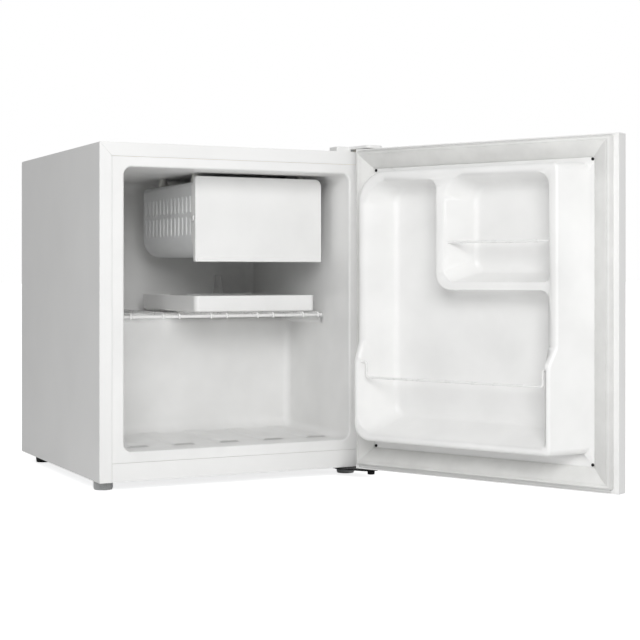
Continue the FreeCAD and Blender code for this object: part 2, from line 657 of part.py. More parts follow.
def freezer_door():
    """Moulded flap of the cooling box: plate, back returns, bottom lip and two pins."""
    x = (FLAP_LEFT, FLAP_RIGHT)
    z = (FLAP_BOTTOM, FLAP_TOP)
    corners = [(x[0], z[0], 3), (x[1], z[0], 0.8), (x[1], z[1], 11), (x[0], z[1], 4)]
    inner = [(x[0] + 2, z[0] + 2, 1.5), (x[1] - 2, z[0] + 2, 0.5), (x[1] - 2, z[1] - 2, 9),
             (x[0] + 2, z[1] - 2, 2.5)]
    plate = prism(corners, on_front(FLAP_FRONT), (0, FLAP_SHEET, 0))
    plate = round_edges(plate, 0.8, lambda b: b.YMax < FLAP_FRONT + 1e-6)
    wall = prism(corners, on_front(FLAP_FRONT + FLAP_SHEET - 0.5), (0, FLAP_RETURN + 0.5, 0))
    wall = wall.cut(prism(inner, on_front(FLAP_FRONT), (0, FLAP_RETURN + 6, 0)))
    lip = [(FLAP_FRONT - 2.2, z[0] + 0.6, 0.5), (FLAP_FRONT + 0.6, z[0] + 0.6, 0),
           (FLAP_FRONT + 0.6, z[0] + 7, 0), (FLAP_FRONT - 0.4, z[0] + 7, 0.3)]
    lip = prism(lip, on_side(x[0] + 3), (x[1] - x[0] - 4.5, 0, 0))
    flap = joined([plate, wall, lip])
    keep = box((FLAP_PIN_X - 4.2, x[1] + 1), (FLAP_FRONT + FLAP_SHEET, FLAP_FRONT + 30),
               (z[0] - 1, z[1] + 1))
    flap = flap.cut(keep)
    pins = []
    for low, way in ((EVAP_BOTTOM + EVAP_LOW_ROUND + 4, -1), (EVAP_TOP - EVAP_HIGH_ROUND - 4, 1)):
        face = low + way * 0.4
        boss = sorted((face, face + way * 5))
        stem = sorted((face + way * 1, face - way * 3.9))
        pins.append(cylinder((FLAP_PIN_X, FLAP_PIN_Y, boss[0]), (FLAP_PIN_X, FLAP_PIN_Y, boss[1]), 2.6))
        pins.append(box((FLAP_PIN_X - 2.2, FLAP_PIN_X + 2.2), (FLAP_FRONT + 1, FLAP_PIN_Y), boss))
        pins.append(cylinder((FLAP_PIN_X, FLAP_PIN_Y, stem[0]), (FLAP_PIN_X, FLAP_PIN_Y, stem[1]),
                             FLAP_PIN_RADIUS))
    return joined([flap] + pins)


# ---- shelf and tray -----------------------------------------------------------------------------
def wire_shelf():
    """Coated wire shelf: three cross rails and pairs of wires that hook over the front rail."""
    wires = []
    for y in (SHELF_FRONT, (SHELF_FRONT + SHELF_BACK) / 2, SHELF_BACK):
        wires.append(cylinder((SHELF_LEFT, y, SHELF_RAIL_Z), (SHELF_RIGHT, y, SHELF_RAIL_Z),
                              SHELF_RAIL_RADIUS))
    high = SHELF_RAIL_Z + SHELF_RAIL_RADIUS + SHELF_WIRE_RADIUS - 0.4
    nose = SHELF_FRONT - SHELF_RAIL_RADIUS - SHELF_WIRE_RADIUS + 0.4
    for pair in range(SHELF_PAIRS):
        for x in (SHELF_FIRST_WIRE + SHELF_PAIR_PITCH * pair,
                  SHELF_FIRST_WIRE + SHELF_PAIR_PITCH * pair + SHELF_PAIR_WIDTH):
            if x < SHELF_RIGHT:
                wires.append(tube([(x, SHELF_BACK + 2, high), (x, nose, high), (x, nose, high - 7)],
                                  SHELF_WIRE_RADIUS, 2.2))
    for x in (SHELF_LEFT + 1.5, SHELF_RIGHT - 1.5):
        wires.append(cylinder((x, SHELF_FRONT, SHELF_RAIL_Z), (x, SHELF_BACK, SHELF_RAIL_Z),
                              SHELF_RAIL_RADIUS - 0.3))
    return joined(wires)


def drip_tray():
    """Open moulded tray under the cooling box, notched at the back and flared at its feet."""
    x = (TRAY_LEFT, TRAY_RIGHT)
    y = (TRAY_FRONT, TRAY_BACK)
    body = prism(rectangle(x, y, TRAY_ROUND), on_floor(TRAY_BOTTOM), (0, 0, TRAY_TOP - TRAY_BOTTOM))
    body = round_edges(body, 2.5, lambda b: b.ZMax < TRAY_BOTTOM + 1e-6)
    inside = prism(rectangle((x[0] + TRAY_WALL, x[1] - TRAY_WALL), (y[0] + TRAY_WALL, y[1] - TRAY_WALL),
                             TRAY_ROUND - TRAY_WALL),
                   on_floor(TRAY_BOTTOM + TRAY_WALL), (0, 0, TRAY_TOP))
    inside = round_edges(inside, 2, lambda b: b.ZMax < TRAY_BOTTOM + TRAY_WALL + 1e-6)
    tray = body.cut(inside)
    notch = prism([(x[0] + 52, TRAY_TOP - 8, 2), (x[0] + 78, TRAY_TOP - 8, 2),
                   (x[0] + 82, TRAY_TOP + 2, 0), (x[0] + 48, TRAY_TOP + 2, 0)],
                  on_front(y[1] - 6), (0, 12, 0))
    return tray.cut(notch)


# ---- machine space ------------------------------------------------------------------------------
def grommet_places():
    return [(COMPRESSOR_X + dx * GROMMET_DX, COMPRESSOR_Y + dy * GROMMET_DY)
            for dx in (-1, 1) for dy in (-1, 1)]


def compressor_plate():
    """Floor of the compressor space, with turned-up edges."""
    x = (SHEET + 0.3, WIDTH - SHEET - 0.3)
    y = (MACHINE_FRONT + 0.3, DEPTH - SHEET - 0.3)
    sole = box(x, y, (BASE, BASE + FLOOR_PLATE))
    rims = [box(x, (y[0], y[0] + FLOOR_PLATE), (BASE, BASE + FLOOR_PLATE_RIM)),
            box(x, (y[1] - FLOOR_PLATE, y[1]), (BASE, BASE + FLOOR_PLATE_RIM))]
    plate = joined([sole] + rims)
    for gx, gy in grommet_places():
        plate = plate.cut(cylinder((gx, gy, BASE - 1), (gx, gy, BASE + 3), GROMMET_BORE))
    for fx in (REAR_FOOT_X, WIDTH - REAR_FOOT_X):
        plate = plate.cut(cylinder((fx, REAR_FOOT_Y, BASE - 1), (fx, REAR_FOOT_Y, BASE + 3),
                                   REAR_FOOT_PEG + 0.1))
    return plate


def compressor():
    """Hermetic pump: lower and upper pressed shells, weld flange, foot plate and terminal block."""
    centre = V(COMPRESSOR_X, COMPRESSOR_Y, COMPRESSOR_LOW)
    height = COMPRESSOR_HIGH - COMPRESSOR_LOW
    body = Part.makeCylinder(COMPRESSOR_RADIUS, height, centre, V(0, 0, 1))
    body = round_edges(body, COMPRESSOR_DOME, lambda b: b.ZMax - b.ZMin < 1e-6)
    parts = [body, cylinder((COMPRESSOR_X, COMPRESSOR_Y, SEAM_Z),
                            (COMPRESSOR_X, COMPRESSOR_Y, SEAM_Z + SEAM_HEIGHT),
                            COMPRESSOR_RADIUS + SEAM_WIDTH)]
    foot_low = BASE + FLOOR_PLATE + GROMMET_HEIGHT - 5
    foot = prism(rectangle((COMPRESSOR_X - MOUNT_HALF_X, COMPRESSOR_X + MOUNT_HALF_X),
                           (COMPRESSOR_Y - MOUNT_HALF_Y, COMPRESSOR_Y + MOUNT_HALF_Y), 12),
                 on_floor(foot_low), (0, 0, MOUNT_SHEET))
    for gx, gy in grommet_places():
        foot = foot.cut(cylinder((gx, gy, foot_low - 1), (gx, gy, foot_low + 4), 8.2))
    parts.append(foot)
    parts.append(cylinder((COMPRESSOR_X, COMPRESSOR_Y, foot_low + 1),
                          (COMPRESSOR_X, COMPRESSOR_Y, COMPRESSOR_LOW + 8), 30))
    parts.append(box((COMPRESSOR_X - COMPRESSOR_RADIUS - 6, COMPRESSOR_X - 40),
                     (COMPRESSOR_Y - 14, COMPRESSOR_Y + 14), TERMINAL_Z))
    return joined(parts)


def compressor_grommets():
    """Four rubber feet under the compressor, waisted where its foot plate sits."""
    low = BASE + FLOOR_PLATE
    waist = (low + GROMMET_HEIGHT - 5.2, low + GROMMET_HEIGHT - 1.8)
    feet = []
    for gx, gy in grommet_places():
        foot = joined([cylinder((gx, gy, low), (gx, gy, waist[0]), 11),
                       cylinder((gx, gy, waist[0]), (gx, gy, waist[1]), 8),
                       cylinder((gx, gy, waist[1]), (gx, gy, low + GROMMET_HEIGHT), 10.5)])
        feet.append(foot.cut(cylinder((gx, gy, low - 1), (gx, gy, low + GROMMET_HEIGHT + 1), GROMMET_BORE)))
    return group(feet)


def compressor_bolts():
    """Four bolts with washers and nuts, up through the floor plate and the rubber feet."""
    bolts = []
    top = BASE + FLOOR_PLATE + GROMMET_HEIGHT
    for gx, gy in grommet_places():
        bolts.append(joined([cylinder((gx, gy, BASE - 4), (gx, gy, BASE), 6),
                             cylinder((gx, gy, BASE - 1), (gx, gy, top + 9), 3),
                             cylinder((gx, gy, top), (gx, gy, top + 1.5), 8),
                             hexagon(gx, gy, top + 1.5, 5, 5.5)]))
    return group(bolts)


def hexagon(x, y, z, height, radius):
    """A hexagonal nut blank standing on a plane."""
    points = [V(x + radius * math.cos(math.radians(60 * i)), y + radius * math.sin(math.radians(60 * i)), z)
              for i in range(7)]
    return Part.Face(Part.makePolygon(points)).extrude(V(0, 0, height))


def relay_cover():
    """Plastic cover over the compressor's terminals, start relay and overload."""
    x = (COMPRESSOR_X - COMPRESSOR_RADIUS - RELAY_OUT, COMPRESSOR_X - COMPRESSOR_RADIUS - 1.5)
    y = (COMPRESSOR_Y - RELAY_HALF, COMPRESSOR_Y + RELAY_HALF)
    z = RELAY_Z
    cover = box(x, y, z)
    cover = round_edges(cover, 5, lambda b: b.XMax < x[0] + 1e-6)
    hollow = box((x[0] + RELAY_SHEET, x[1] + 5), (y[0] + RELAY_SHEET, y[1] - RELAY_SHEET),
                 (z[0] + RELAY_SHEET, z[1] - RELAY_SHEET))
    cover = cover.cut(hollow)
    return cover.cut(cylinder((COMPRESSOR_X, COMPRESSOR_Y, BASE), (COMPRESSOR_X, COMPRESSOR_Y, TOP),
                              COMPRESSOR_RADIUS + SEAM_WIDTH + 1))


def discharge_tube():
    """Hot gas pipe from the compressor's side to the condenser's lower end."""
    out_x = CONDENSER_RIGHT + CONDENSER_END
    first_x = COMPRESSOR_X + COMPRESSOR_RADIUS + 38
    y = (COMPRESSOR_Y + 6, COMPRESSOR_Y + 50)
    return tube([(COMPRESSOR_X + COMPRESSOR_RADIUS + PIPE_GAP, y[0], GAS_PIPE_Z),
                 (first_x, y[0], GAS_PIPE_Z), (first_x, y[1], GAS_PIPE_Z), (out_x, y[1], GAS_PIPE_Z),
                 (out_x, CONDENSER_Y, GAS_PIPE_Z), (out_x, CONDENSER_Y, CONDENSER_LOW - PIPE_GAP)],
                GAS_PIPE_RADIUS, CONDENSER_BEND)


def suction_tube():
    """Cold gas pipe from the foam above the compressor space back to the compressor."""
    x = COMPRESSOR_X + COMPRESSOR_RADIUS + 26
    y = (COMPRESSOR_Y - 18, COMPRESSOR_Y - 58)
    return tube([(COMPRESSOR_X + COMPRESSOR_RADIUS + PIPE_GAP, y[0], SUCTION_Z[0]), (x, y[0], SUCTION_Z[0]),
                 (x, y[0], SUCTION_Z[1]), (x, y[1], SUCTION_Z[1]),
                 (x, y[1], MACHINE_TOP - SHEET - PIPE_GAP)], SUCTION_RADIUS, 12)


def dryer_filter():
    """Copper drier with swaged ends, standing at the left of the compressor space."""
    high = DRYER_LOW + DRYER_LENGTH
    body = cylinder((DRYER_X, DRYER_Y, DRYER_LOW + DRYER_STUB), (DRYER_X, DRYER_Y, high - DRYER_STUB),
                    DRYER_RADIUS)
    body = body.makeChamfer(4, [e for e in body.Edges if e.BoundBox.ZMax - e.BoundBox.ZMin < 1e-6])
    stub = cylinder((DRYER_X, DRYER_Y, DRYER_LOW), (DRYER_X, DRYER_Y, high), DRYER_RADIUS / 3)
    return joined([body, stub])


def capillary_tube():
    """Thin pipe from the drier down, along the floor and up into the foam."""
    x = DRYER_X + 40
    y = DRYER_Y - 50
    return tube([(DRYER_X, DRYER_Y, DRYER_LOW - PIPE_GAP), (DRYER_X, DRYER_Y, CAPILLARY_LOW),
                 (x, DRYER_Y, CAPILLARY_LOW), (x, y, CAPILLARY_LOW),
                 (x, y, MACHINE_TOP - SHEET - PIPE_GAP)], CAPILLARY_RADIUS, 8)


def condenser_tube():
    """Serpentine pipe behind the back panel, with one end led down on each side."""
    ends = (CONDENSER_LEFT, CONDENSER_RIGHT)
    out = (CONDENSER_LEFT - CONDENSER_END, CONDENSER_RIGHT + CONDENSER_END)
    points = [(out[1], CONDENSER_Y, CONDENSER_LOW)]
    for i in range(CONDENSER_PASSES):
        z = CONDENSER_FIRST + CONDENSER_PITCH * i
        start, end = (ends[1], ends[0]) if i % 2 == 0 else ends
        if i == 0:
            start = out[1]
        if i == CONDENSER_PASSES - 1:
            end = out[0]
        points += [(start, CONDENSER_Y, z), (end, CONDENSER_Y, z)]
    points.append((out[0], CONDENSER_Y, CONDENSER_DROP))
    points.append((DRYER_X, CONDENSER_Y - 20, CONDENSER_DROP))
    points.append((DRYER_X, DRYER_Y, CONDENSER_DROP))
    points.append((DRYER_X, DRYER_Y, DRYER_LOW + DRYER_LENGTH + PIPE_GAP))
    return tube(points, CONDENSER_TUBE, CONDENSER_BEND)


def condenser_wires():
    """Upright wires spot-welded to the serpentine, on both of its faces."""
    wires = []
    high = CONDENSER_FIRST + CONDENSER_PITCH * (CONDENSER_PASSES - 1) + 8
    step = (CONDENSER_RIGHT - CONDENSER_LEFT - 2 * WIRE_INSET) / (WIRE_COUNT - 1)
    for i in range(WIRE_COUNT):
        x = CONDENSER_LEFT + WIRE_INSET + step * i
        side = 1 if i % 2 == 0 else -1
        y = CONDENSER_Y + side * (CONDENSER_TUBE + WIRE_RADIUS + 0.02)
        wires.append(cylinder((x, y, CONDENSER_FIRST - 8), (x, y, high), WIRE_RADIUS))
    return group(wires)


def condenser_clips():
    """Four plastic saddles that hold the serpentine off the back panel."""
    face = DEPTH - BACK_INSET
    clips = []
    for x, i in CLIP_PLACES:
        z = CONDENSER_FIRST + CONDENSER_PITCH * i
        wide = (x - CLIP_HALF, x + CLIP_HALF)
        block = box(wide, (face, CONDENSER_Y + 4.5), (z - 6, z + 5))
        tab = box(wide, (face, face + CLIP_TAB), (z + 4, z + CLIP_SCREW_RISE + 7))
        clip = joined([block, tab])
        clip = clip.cut(cylinder((x - 8, CONDENSER_Y, z), (x + 8, CONDENSER_Y, z),
                                 CONDENSER_TUBE + RUNNING_GAP))
        hole_z = z + CLIP_SCREW_RISE
        clips.append(clip.cut(cylinder((x, face - 1, hole_z), (x, face + 5, hole_z), 1.9)))
    return group(clips)


def panel_screws():
    """Four screws through the condenser clips into the back panel."""
    face = DEPTH - BACK_INSET + CLIP_TAB
    return group([screw((x, face, z), (0, -1, 0), 3.6, 1.8, 16) for x, z in PANEL_SCREWS])


def condensate_pan():
    """Shallow tray on top of the compressor, where the defrost water dries off."""
    x = (COMPRESSOR_X - PAN_HALF, COMPRESSOR_X + PAN_HALF)
    y = (COMPRESSOR_Y - PAN_HALF, COMPRESSOR_Y + PAN_HALF)
    z = (COMPRESSOR_HIGH + 0.4, COMPRESSOR_HIGH + 20)
    t = PAN_SHEET
    pan = prism(rectangle(x, y, PAN_ROUND), on_floor(z[0]), (0, 0, z[1] - z[0]))
    hollow = rectangle((x[0] + t, x[1] - t), (y[0] + t, y[1] - t), PAN_ROUND - t)
    return pan.cut(prism(hollow, on_floor(z[0] + t), (0, 0, z[1])))


def thermostat_housing():
    """Plastic box on the back panel, holding the thermostat; the knob's spindle comes out of it."""
    face = DEPTH - BACK_INSET
    half_x, half_z, t = THERMO_HALF_X, THERMO_HALF_Z, THERMO_SHEET
    cover = box((THERMO_X - half_x, THERMO_X + half_x), (face, face + THERMO_DEEP),
                (THERMO_Z - half_z, THERMO_Z + half_z))
    cover = round_edges(cover, 4, lambda b: b.YMin > face + THERMO_DEEP - 1e-6)
    hollow = box((THERMO_X - half_x + t, THERMO_X + half_x - t), (face - 1, face + THERMO_DEEP - t),
                 (THERMO_Z - half_z + t, THERMO_Z + half_z - t))
    switch = box((THERMO_X - 18, THERMO_X + 18), (face, face + 8), (THERMO_Z - 15, THERMO_Z + 15))
    neck = cylinder((THERMO_X, face + 7, THERMO_Z), (THERMO_X, face + THERMO_DEEP, THERMO_Z), 7)
    whole = joined([cover.cut(hollow), switch, neck])
    return whole.cut(cylinder((THERMO_X, face + 3, THERMO_Z), (THERMO_X, face + 20, THERMO_Z),
                              SPINDLE_RADIUS + RUNNING_GAP))


def thermostat_knob():
    """Turned knob with a finger bar and a short spindle."""
    face = DEPTH - BACK_INSET
    rear = DEPTH - 0.6
    low = face + THERMO_DEEP + 0.6
    disc = cylinder((THERMO_X, low, THERMO_Z), (THERMO_X, face + 15, THERMO_Z), KNOB_RADIUS)
    grip = box((THERMO_X - 2.6, THERMO_X + 2.6), (face + 14, rear), (THERMO_Z - 13, THERMO_Z + 13))
    grip = round_edges(grip, 1.2, lambda b: b.YMin > rear - 1e-6)
    spindle = cylinder((THERMO_X, face + 3.5, THERMO_Z), (THERMO_X, face + 13, THERMO_Z), SPINDLE_RADIUS)
    return joined([disc, grip, spindle])


def mains_gland():
    """Moulded clamp in the compressor space's rear edge, where the supply lead would enter."""
    y = DEPTH - SHEET - 0.3 - FLOOR_PLATE
    base = box((GLAND_X - GLAND_HALF, GLAND_X + GLAND_HALF), (y - 12, y), (BASE + FLOOR_PLATE, BASE + 22))
    neck = cylinder((GLAND_X, y - 1, GLAND_Z), (GLAND_X, DEPTH - 0.5, GLAND_Z), GLAND_BORE + 1.4)
    return joined([base, neck]).cut(cylinder((GLAND_X, y - 20, GLAND_Z), (GLAND_X, DEPTH + 5, GLAND_Z),
                                             GLAND_BORE))


# ---- feet and hinges ----------------------------------------------------------------------------
def front_foot(x):
    """Levelling foot: knurled plastic body moulded on a threaded stud."""
    low = Part.makeCone(FOOT_RADIUS - 1.2, FOOT_RADIUS, 3, V(x, FOOT_Y, 0), V(0, 0, 1))
    body = cylinder((x, FOOT_Y, 3), (x, FOOT_Y, FOOT_HEIGHT - 1.2), FOOT_RADIUS)
    stud = cylinder((x, FOOT_Y, FOOT_HEIGHT - 2), (x, FOOT_Y, BASE + STUD_TOP), STUD_RADIUS)
    foot = joined([low, body, stud])
    grooves = []
    for i in range(FOOT_GROOVES):
        turn = math.radians(360 * i / FOOT_GROOVES)
        gx = x + (FOOT_RADIUS + 0.5) * math.cos(turn)
        gy = FOOT_Y + (FOOT_RADIUS + 0.5) * math.sin(turn)
        grooves.append(cylinder((gx, gy, 3.5), (gx, gy, FOOT_HEIGHT), FOOT_GROOVE_RADIUS))
    return foot.cut(grooves)


def foot_nuts():
    """Threaded plates above the floor sheet that the front feet screw into."""
    nuts = []
    for x in (FOOT_X, WIDTH - FOOT_X):
        nut = hexagon(x, FOOT_Y, BASE + SHEET, NUT_HEIGHT, NUT_RADIUS)
        nuts.append(nut.cut(cylinder((x, FOOT_Y, BASE), (x, FOOT_Y, BASE + 12), STUD_RADIUS + RUNNING_GAP)))
    return group(nuts)


def rear_feet():
    """Two fixed black plastic feet, pushed into the compressor plate."""
    feet = []
    for x in (REAR_FOOT_X, WIDTH - REAR_FOOT_X):
        body = Part.makeCone(REAR_FOOT_LOW, REAR_FOOT_HIGH, FOOT_HEIGHT, V(x, REAR_FOOT_Y, 0), V(0, 0, 1))
        peg = cylinder((x, REAR_FOOT_Y, FOOT_HEIGHT - 1), (x, REAR_FOOT_Y, BASE + 8), REAR_FOOT_PEG)
        feet.append(joined([body, peg]))
    return group(feet)


def top_hinge_bracket():
    """Joggled steel plate on the cabinet's top, reaching over the door, with its pin pointing down."""
    low = TOP
    high = DOOR_TOP + 1.5
    x = TOP_PLATE_X
    y = TOP_PLATE_Y
    seat = box(x, y, (low, low + PLATE))
    fold = (y[0] - 0.5, y[0] + 2)
    reach = prism([(PIN_X - 10, PIN_Y - 9, 8), (PIN_X + 10, PIN_Y - 9, 8), (x[1], y[0], 0),
                   (x[1], fold[1], 0), (x[0], fold[1], 0), (x[0], fold[0] + 0.1, 0),
                   (x[0] + 21.5, fold[0] + 0.1, 0)], on_floor(high), (0, 0, PLATE))
    riser = box(x, fold, (low, high + PLATE))
    pin = cylinder((PIN_X, PIN_Y, DOOR_TOP - 14), (PIN_X, PIN_Y, high + 1), HINGE_PIN_RADIUS)
    bracket = joined([seat, reach, riser, pin])
    for sx, sy in HINGE_SCREWS:
        bracket = bracket.cut(cylinder((sx, sy, low - 1), (sx, sy, low + 5), SCREW_HOLE + 0.1))
    return bracket


def top_hinge_cover():
    """White moulded cap over the top hinge."""
    x = COVER_X
    y = (PIN_Y - 13, COVER_BACK)
    high = COVER_HIGH
    t = COVER_SHEET
    front = COVER_FRONT
    arm = x[0] + COVER_ARM
    lean = 8                # the arm's left side slopes by this much on its way forward
    over = [(x[0], y[1], 6), (x[0], front, 2), (arm, front, 2), (arm + lean, y[0], 8),
            (x[1], y[0], 8), (x[1], y[1], 6)]
    cap = prism(over, on_floor(TOP), (0, 0, high - TOP))
    cap = round_edges(cap, 1.2, lambda b: b.ZMin > high - 1e-6)
    inside = [(x[0] + t, y[1] - t, 4), (x[0] + t, front + t, 1), (arm + t - 0.3, front + t, 1),
              (arm + lean + t - 0.3, y[0] + t, 6), (x[1] - t, y[0] + t, 6), (x[1] - t, y[1] - t, 4)]
    cap = cap.cut(prism(inside, on_floor(TOP - 1), (0, 0, high - TOP - 0.8)))
    return cap.cut(box((x[0] - 1, x[1] + 1), (y[0] - 1, front - 0.1), (TOP - 1, DOOR_TOP + 1.6)))


def top_hinge_screws():
    """Three screws through the top hinge plate."""
    return group([screw((x, y, TOP + PLATE), (0, 0, -1), HINGE_SCREW_HEAD, HINGE_SCREW_SHANK,
                        HINGE_SCREW_LENGTH) for x, y in HINGE_SCREWS])


def bottom_hinge_bracket():
    """Flat steel plate under the cabinet, reaching forward under the door."""
    x = HINGE_PLATE_X
    plate = prism([(PIN_X - 12, PIN_Y - 10, 9), (PIN_X + 11, PIN_Y - 10, 9), (x[1], 0, 0),
                   (x[1], HINGE_PLATE_BACK, 2), (x[0], HINGE_PLATE_BACK, 2), (x[0], 0, 0)],
                  on_floor(BASE - PLATE - 0.5), (0, 0, PLATE))
    pad = box(x, (1, HINGE_PLATE_BACK), (BASE - 1, BASE))
    plate = joined([plate, pad])
    for x, y in BOTTOM_SCREWS:
        plate = plate.cut(cylinder((x, y, BASE - 9), (x, y, BASE + 2), SCREW_HOLE + 0.1))
    return plate.cut(cylinder((PIN_X, PIN_Y, 0), (PIN_X, PIN_Y, BASE + 2), HINGE_PIN_RADIUS + 0.02))


def bottom_hinge_screws():
    """Three screws through the bottom hinge plate."""
    low = BASE - PLATE - 0.5
    return group([screw((x, y, low), (0, 0, 1), HINGE_SCREW_HEAD, HINGE_SCREW_SHANK, HINGE_SCREW_LENGTH)
                  for x, y in BOTTOM_SCREWS])


def hinge_pin_bolt():
    """Bolt whose plain shank is the door's lower pivot."""
    low = BASE - PLATE - 0.5
    head = hexagon(PIN_X, PIN_Y, low - 6, 6, 6.4)
    head = head.common(Part.makeCone(5.2, 8.2, 6, V(PIN_X, PIN_Y, low - 6), V(0, 0, 1)))
    shank = cylinder((PIN_X, PIN_Y, low - 1), (PIN_X, PIN_Y, DOOR_BOTTOM + 15), HINGE_PIN_RADIUS)
    return joined([head, shank])


# ---- door, made shut and then swung open --------------------------------------------------------
def panel_section(inset, edge):
    """Plan of the door panel: straight sides, rounded front corners and a gently crowned face."""
    s = (inset, WIDTH - inset)
    front = -DOOR_EDGE + inset
    y0 = -DOOR_GAP
    left = V(WIDTH - s[0], y0 + front + 6, 0)
    right = V(WIDTH - s[1], y0 + front + 6, 0)
    round_left = V(WIDTH - s[0] - 1.6, y0 + front + 1.6, 0)
    round_right = V(WIDTH - s[1] + 1.6, y0 + front + 1.6, 0)
    face_left = V(WIDTH - s[0] - 6, y0 + front - 0.6, 0)
    face_right = V(WIDTH - s[1] + 6, y0 + front - 0.6, 0)
    middle = V(WIDTH / 2, y0 + front - DOOR_CROWN, 0)
    back_left = V(WIDTH - s[0], y0 + edge, 0)
    back_right = V(WIDTH - s[1], y0 + edge, 0)
    return Part.Wire([Part.makeLine(back_left, left),
                      Part.Arc(left, round_left, face_left).toShape(),
                      Part.Arc(face_left, middle, face_right).toShape(),
                      Part.Arc(face_right, round_right, right).toShape(),
                      Part.makeLine(right, back_right),
                      Part.makeLine(back_right, back_left)])


def panel_block(inset, edge, low, high):
    wire = panel_section(inset, edge)
    wire.translate(V(0, 0, low))
    return Part.Face(wire).extrude(V(0, 0, high - low))


def door_skin():
    """Steel panel: crowned face, two sides and the narrow flanges turned in along them."""
    low, high = DOOR_BOTTOM + 2, DOOR_TOP - 2
    skin = panel_block(0, 0, low, high).cut(panel_block(SHEET, -SHEET, low - 1, high + 1))
    return skin.cut(door_box((DOOR_FLANGE, WIDTH - DOOR_FLANGE), (-3, 3), (low - 1, high + 1)))


def end_cap(low, high, sign, ear):
    """Moulded cap across the door's end, with an ear down each inner corner."""
    plug = panel_block(SHEET + 0.15, -LINER - 0.2, low, high)
    rim_low, rim_high = (high - 2, high) if sign > 0 else (low, low + 2)
    rim = panel_block(0, 0.8, rim_low, rim_high)
    parts = [plug, rim]
    for along in ((0, CAP_EAR_WIDTH), (WIDTH - CAP_EAR_WIDTH, WIDTH)):
        z = (high - ear, high) if sign > 0 else (low, low + ear)
        parts.append(door_box(along, (0, 0.8), z))
    cap = joined(parts)
    hollow = panel_block(SHEET + CAP_SHEET, -LINER - CAP_SHEET, low + CAP_SHEET if sign < 0 else low - 1,
                         high - CAP_SHEET if sign > 0 else high + 1)
    boss = door_box((PIN_FROM_SIDE - 9, PIN_FROM_SIDE + 9), (DOOR_GAP - PIN_FORWARD - 6.8, -LINER - 1),
                    (low, high))
    cap = cap.cut(hollow.cut(boss))
    return cap.cut(cylinder((PIN_X, PIN_Y, low - 2), (PIN_X, PIN_Y, high + 2),
                            HINGE_PIN_RADIUS + BUSH_WALL))


def door_top_cap():
    """The upper cap, with long ears."""
    return end_cap(DOOR_TOP - CAP_HEIGHT, DOOR_TOP, 1, CAP_EAR)


def door_bottom_cap():
    """The lower cap, with short ears."""
    return end_cap(DOOR_BOTTOM, DOOR_BOTTOM + CAP_HEIGHT, -1, 7.0)


def hinge_bushes():
    """Plastic sleeves in the two caps, round the pins."""
    bushes = []
    for z in ((DOOR_BOTTOM, DOOR_BOTTOM + CAP_HEIGHT), (DOOR_TOP - CAP_HEIGHT, DOOR_TOP)):
        bushes.append(ring((PIN_X, PIN_Y, z[0]), (PIN_X, PIN_Y, z[1]), HINGE_PIN_RADIUS + BUSH_WALL,
                           HINGE_PIN_RADIUS + RUNNING_GAP))
    return group(bushes)


def slanted(low, high, out):
    """A solid between two outlines of (s, z, radius) corners, at two distances in from the door's face."""
    wires = [outline(corners, door_place(p)) for corners, p in zip((low, high), out)]
    return Part.makeLoft(wires, True, True)


def raised_block(shrink):
    """The solid that stands in from the door's face: taller below, with one sloped step."""
    t = shrink

    def section(p):
        free = DYKE_FREE - DYKE_LEAN * p - t * DRAFT_OFFSET
        return [(DYKE_HINGE + t, DYKE_BOTTOM + t, 26 - t), (free, DYKE_BOTTOM + t, 9 - t),
                (free, DYKE_TOP - t, 10 - t), (DYKE_HINGE + t, DYKE_TOP - t, 46 - t)]

    ends = (-4, DYKE_LOW - t)
    block = slanted(section(ends[0]), section(ends[1]), ends)
    back = -DOOR_GAP - 8
    low, high = DYKE_LOW - DOOR_GAP - t, DYKE_HIGH - DOOR_GAP - t
    side = [(back, BASE + 20, 0), (low, BASE + 20, 0), (low, STEP_LOW - t / 3, 18),
            (high, STEP_HIGH - t / 3, 18), (high, TOP, 0), (back, TOP, 0)]
    block = block.common(prism(side, on_side(0), (WIDTH, 0, 0)))
    crest = high - 1e-3

    def on_crest(b):
        crosses = b.XMax - b.XMin > 200 and b.ZMax - b.ZMin < 1e-6
        crease = crosses and STEP_LOW - 30 < b.ZMin < STEP_HIGH + 30
        return b.YMin > crest and not crease

    return round_edges(block, RIM_ROUND + 1 - t, on_crest)


def pocket(low, high, depth, grow):
    """A hollow in the raised block with leaning walls, filleted where they meet its floor."""
    out = POCKET_FLOOR - grow
    form = slanted(low, high, (out, depth))
    form = form.fuse(prism(high, door_place(depth), (0, DYKE_LOW + 20 - depth, 0))).removeSplitter()
    floor = out - DOOR_GAP
    return round_edges(form, POCKET_FILLET + grow, lambda b: b.YMax < floor + 1e-6)


def main_pocket(grow):
    """The tall pocket, which goes round the outside of the upper rack."""
    g = grow * DRAFT_OFFSET
    s = (POCKET_HINGE - g, RACK_OUTER + g, POCKET_FREE + g)
    z = (POCKET_BOTTOM - g, RACK_UNDER + g, POCKET_TOP + g)
    high = [(s[0], z[0], 28 + g), (s[2], z[0], 6 + g), (s[2], z[1], 10 + g), (s[1], z[1], 22 - g),
            (s[1], z[2], 16 + g), (s[0], z[2], 38 + g)]
    s = (s[0] + POCKET_DRAFT, s[1] - OUTER_DRAFT, s[2] - FREE_DRAFT)
    z = (z[0] + POCKET_DRAFT_LOW, z[1] - FREE_DRAFT, z[2] - TOP_DRAFT)
    low = [(s[0], z[0], 18 + g), (s[2], z[0], 18 + g), (s[2], z[1], 18 + g), (s[1], z[1], 26 - g),
           (s[1], z[2], 18 + g), (s[0], z[2], 22 + g)]
    return pocket(low, high, DYKE_LOW, grow)


